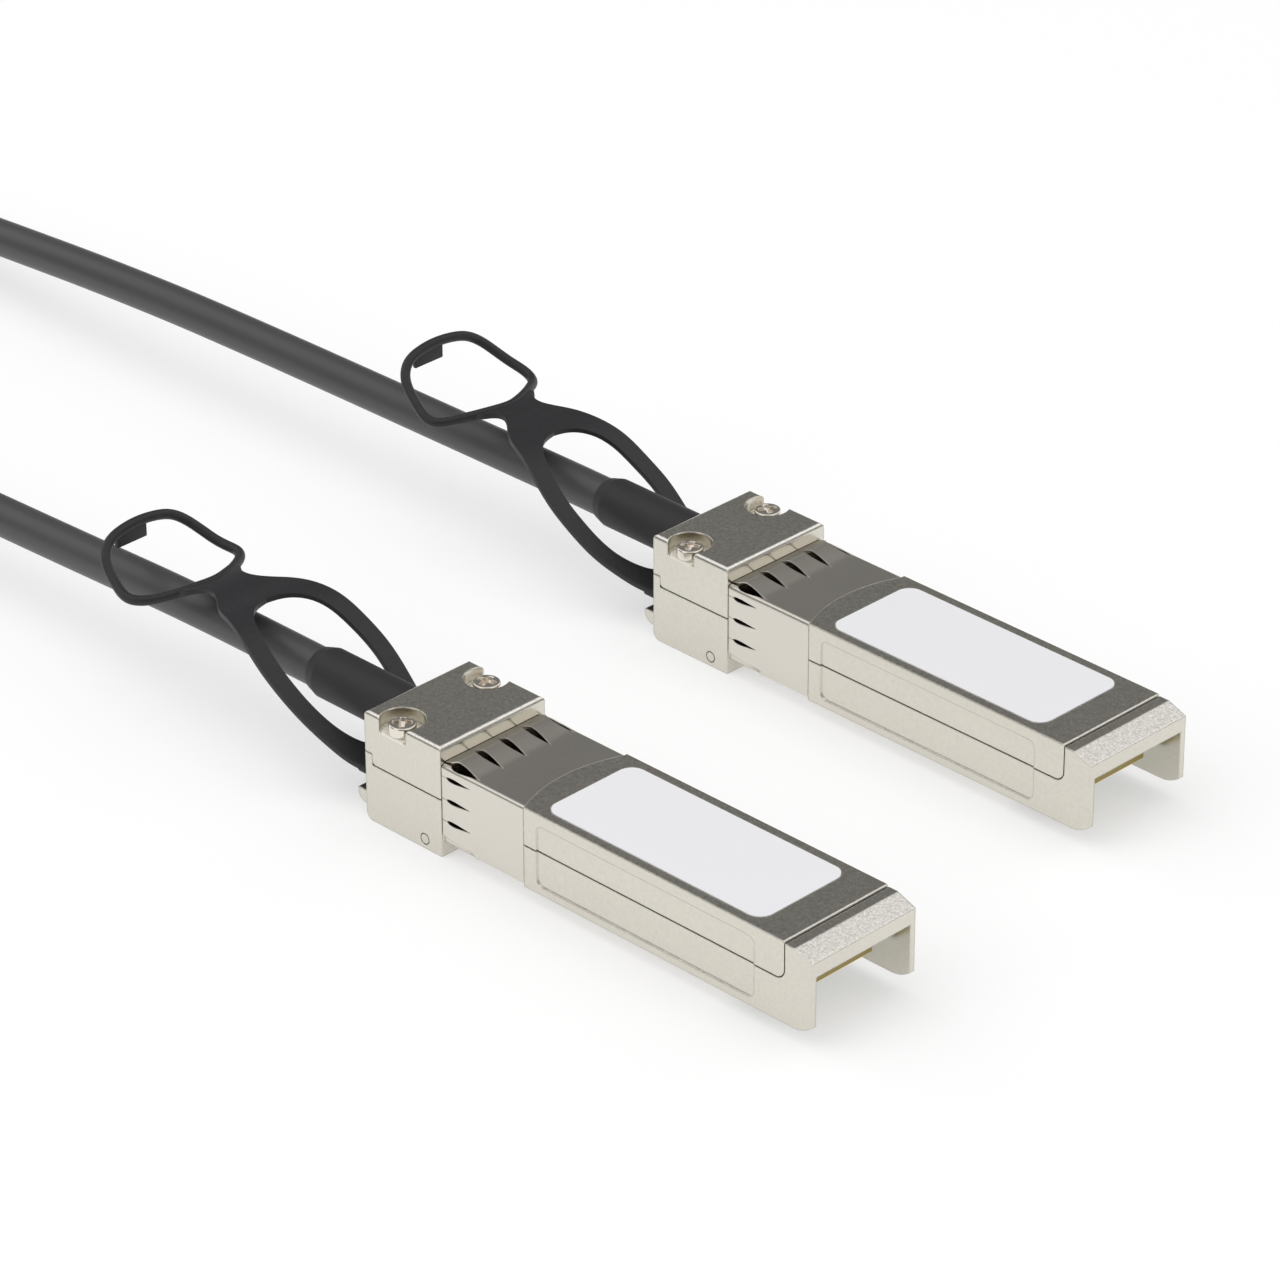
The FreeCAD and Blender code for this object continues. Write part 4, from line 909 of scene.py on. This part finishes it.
def make_materials(end):
    """Every finish of one plug and of the cable, by the name of its slot."""
    return {
        "shell_metal": make_shell_metal(end),
        "spring_metal": new_material("spring_strip", (0.705, 0.67, 0.605), 0.28, metallic=1.0, grain=3000.0,
                                     bump=0.12, depth=0.00002, edge=0.1),
        "stamped_steel": new_material("stamped_sheet", (0.56, 0.55, 0.52), 0.32, metallic=1.0, bump=0.2,
                                      edge=0.06),
        "pin_steel": make_pin_metal(end),
        "screw_steel": new_material("plated_screw", (0.80, 0.74, 0.66), 0.16, metallic=1.0, bump=0.1,
                                    edge=0.06),
        "ferrule_metal": new_material("crimp_ring", (0.66, 0.58, 0.42), 0.3, metallic=1.0, bump=0.2),
        "board": make_board_material(),
        "gold": new_material("gold_plating", (0.83, 0.62, 0.22), 0.25, metallic=1.0, bump=0.1),
        "chip": new_material("chip_package", (0.02, 0.02, 0.022), 0.5, bump=0.3, depth=0.00001, edge=0.05),
        "pair_foil": new_material("pair_foil", (0.75, 0.75, 0.76), 0.3, metallic=1.0, grain=900.0, bump=0.4),
        "sleeve": new_material("heat_shrink", (0.022, 0.022, 0.022), 0.55, grain=1600.0, cloud=300.0,
                               bump=0.25, depth=0.00004, edge=0.3, specular=0.38),
        "label": new_material("label_film", (0.86, 0.86, 0.88), 0.32, grain=6000.0, variation=0.01,
                              bump=0.05),
        "tab": new_material("soft_tab", (0.020, 0.0193, 0.0215), 0.46, grain=4500.0, variation=0.1,
                            speckle=0.5, bump=0.3, depth=0.00002, specular=0.36),
        "cable_jacket": new_material("cable_jacket", (0.055, 0.055, 0.057), 0.42, grain=1500.0, cloud=90.0,
                                     variation=0.1, bump=0.15, depth=0.00003),
    }


def make_floor():
    """A light table: half of its light is its own, so that shadows on it stay pale."""
    size = 4.0
    corners = [(-size, -size, 0), (size, -size, 0), (size, size, 0), (-size, size, 0)]
    floor = new_piece("floor", corners, [(0, 1, 2, 3)], smooth=False)
    material = bpy.data.materials.new("floor")
    material.use_nodes = True
    shader = material.node_tree.nodes["Principled BSDF"]
    shader.inputs["Base Color"].default_value = (0.5, 0.5, 0.5, 1)
    shader.inputs["Emission Color"].default_value = (1, 1, 1, 1)
    shader.inputs["Emission Strength"].default_value = 0.5
    shader.inputs["Roughness"].default_value = 0.85
    shader.inputs["Specular IOR Level"].default_value = 0.15
    floor.data.materials.append(material)


# The lamps, which all aim at the origin: place, width and height, and power.
LAMPS = {"overhead": ((0.1, 0.0, 1.1), (1.4, 1.4), 3.2), "left_front": ((-0.5, -0.9, 0.7), (0.9, 0.7), 2.3)}


def make_softbox(name, place, size, power):
    """A rectangular lamp that lights the object and isn't mirrored in it."""
    data = bpy.data.lights.new(name, "AREA")
    data.shape = "RECTANGLE"
    data.size, data.size_y = size
    data.energy = power
    lamp = bpy.data.objects.new(name, data)
    bpy.context.collection.objects.link(lamp)
    turn = (Vector((0, 0, 0)) - Vector(place)).to_track_quat("-Z", "Y").to_matrix().to_4x4()
    lamp.matrix_world = Matrix.Translation(place) @ turn
    lamp.visible_glossy = False


# The room's dark corners: azimuth and elevation in degrees, and the angles from its middle within which each is
# dark and beyond which it is gone.
DARK_CORNERS = ((135, 30, 21, 38), (315, 22, 24, 40), (225, 14, 12, 26), (45, 14, 12, 26))
DARK = 0.20
ROOM = ((0.0, 0.80), (0.12, 0.80), (0.34, 1.10), (0.74, 1.10), (0.86, 0.92), (1.0, 0.92))


def make_world():
    """A soft white room with dark corners at the diagonals, where flat metal tops mirror to."""
    world = bpy.data.worlds.new("room")
    bpy.context.scene.world = world
    world.use_nodes = True
    tree = world.node_tree
    link = tree.links.new
    place = add(tree, "TexCoord")
    split = add(tree, "SeparateXYZ")
    link(place.outputs["Generated"], split.inputs[0])
    ramp = add(tree, "ValToRGB")
    while len(ramp.color_ramp.elements) < len(ROOM):
        ramp.color_ramp.elements.new(0.5)
    for element, (height, value) in zip(ramp.color_ramp.elements, ROOM):
        element.position = height
        element.color = (value, value, value, 1)
    link(split.outputs["Z"], ramp.inputs["Fac"])
    color = ramp.outputs["Color"]
    for azimuth, elevation, dark, gone in DARK_CORNERS:
        azimuth, elevation = math.radians(azimuth), math.radians(elevation)
        toward = add(tree, "VectorMath", operation="DOT_PRODUCT")
        toward.inputs[1].default_value = (math.cos(azimuth) * math.cos(elevation),
                                          math.sin(azimuth) * math.cos(elevation), math.sin(elevation))
        link(place.outputs["Generated"], toward.inputs[0])
        inside = add(tree, "MapRange", interpolation_type="SMOOTHSTEP")
        inside.inputs["From Min"].default_value = math.cos(math.radians(gone))
        inside.inputs["From Max"].default_value = math.cos(math.radians(dark))
        link(toward.outputs["Value"], inside.inputs["Value"])
        mix = add(tree, "Mix", data_type="RGBA")
        mix.inputs["B"].default_value = (DARK, DARK, DARK, 1)
        link(inside.outputs["Result"], mix.inputs["Factor"])
        link(color, mix.inputs["A"])
        color = mix.outputs["Result"]
    link(color, tree.nodes["Background"].inputs["Color"])


cable = make_cable()
pieces = {end: {"tab": [make_tab(end)], "spring_metal": [make_collar(end), make_leaf(end)],
                "screw_steel": [make_screw(side, end) for side in ("near", "far")]} for end in ENDS}
materials = {end: make_materials(end) for end in ENDS}
for entry in frame["record"]["subparts"]:
    node = frame["nodes"][entry["node"]]
    for slot in node.material_slots:
        slot.material = materials["b" if entry["node"].endswith("_b") else "a"][entry["material_slot"]]
cable.data.materials.append(materials["a"]["cable_jacket"])
for end in ENDS:
    for slot_name, made in pieces[end].items():
        for piece in made:
            piece.data.materials.append(materials[end][slot_name])

make_floor()
make_world()
for lamp_name, (lamp_place, lamp_size, lamp_power) in LAMPS.items():
    make_softbox(lamp_name, lamp_place, lamp_size, lamp_power)
bpy.context.scene.view_settings.view_transform = "Standard"

bpy.context.view_layer.update()
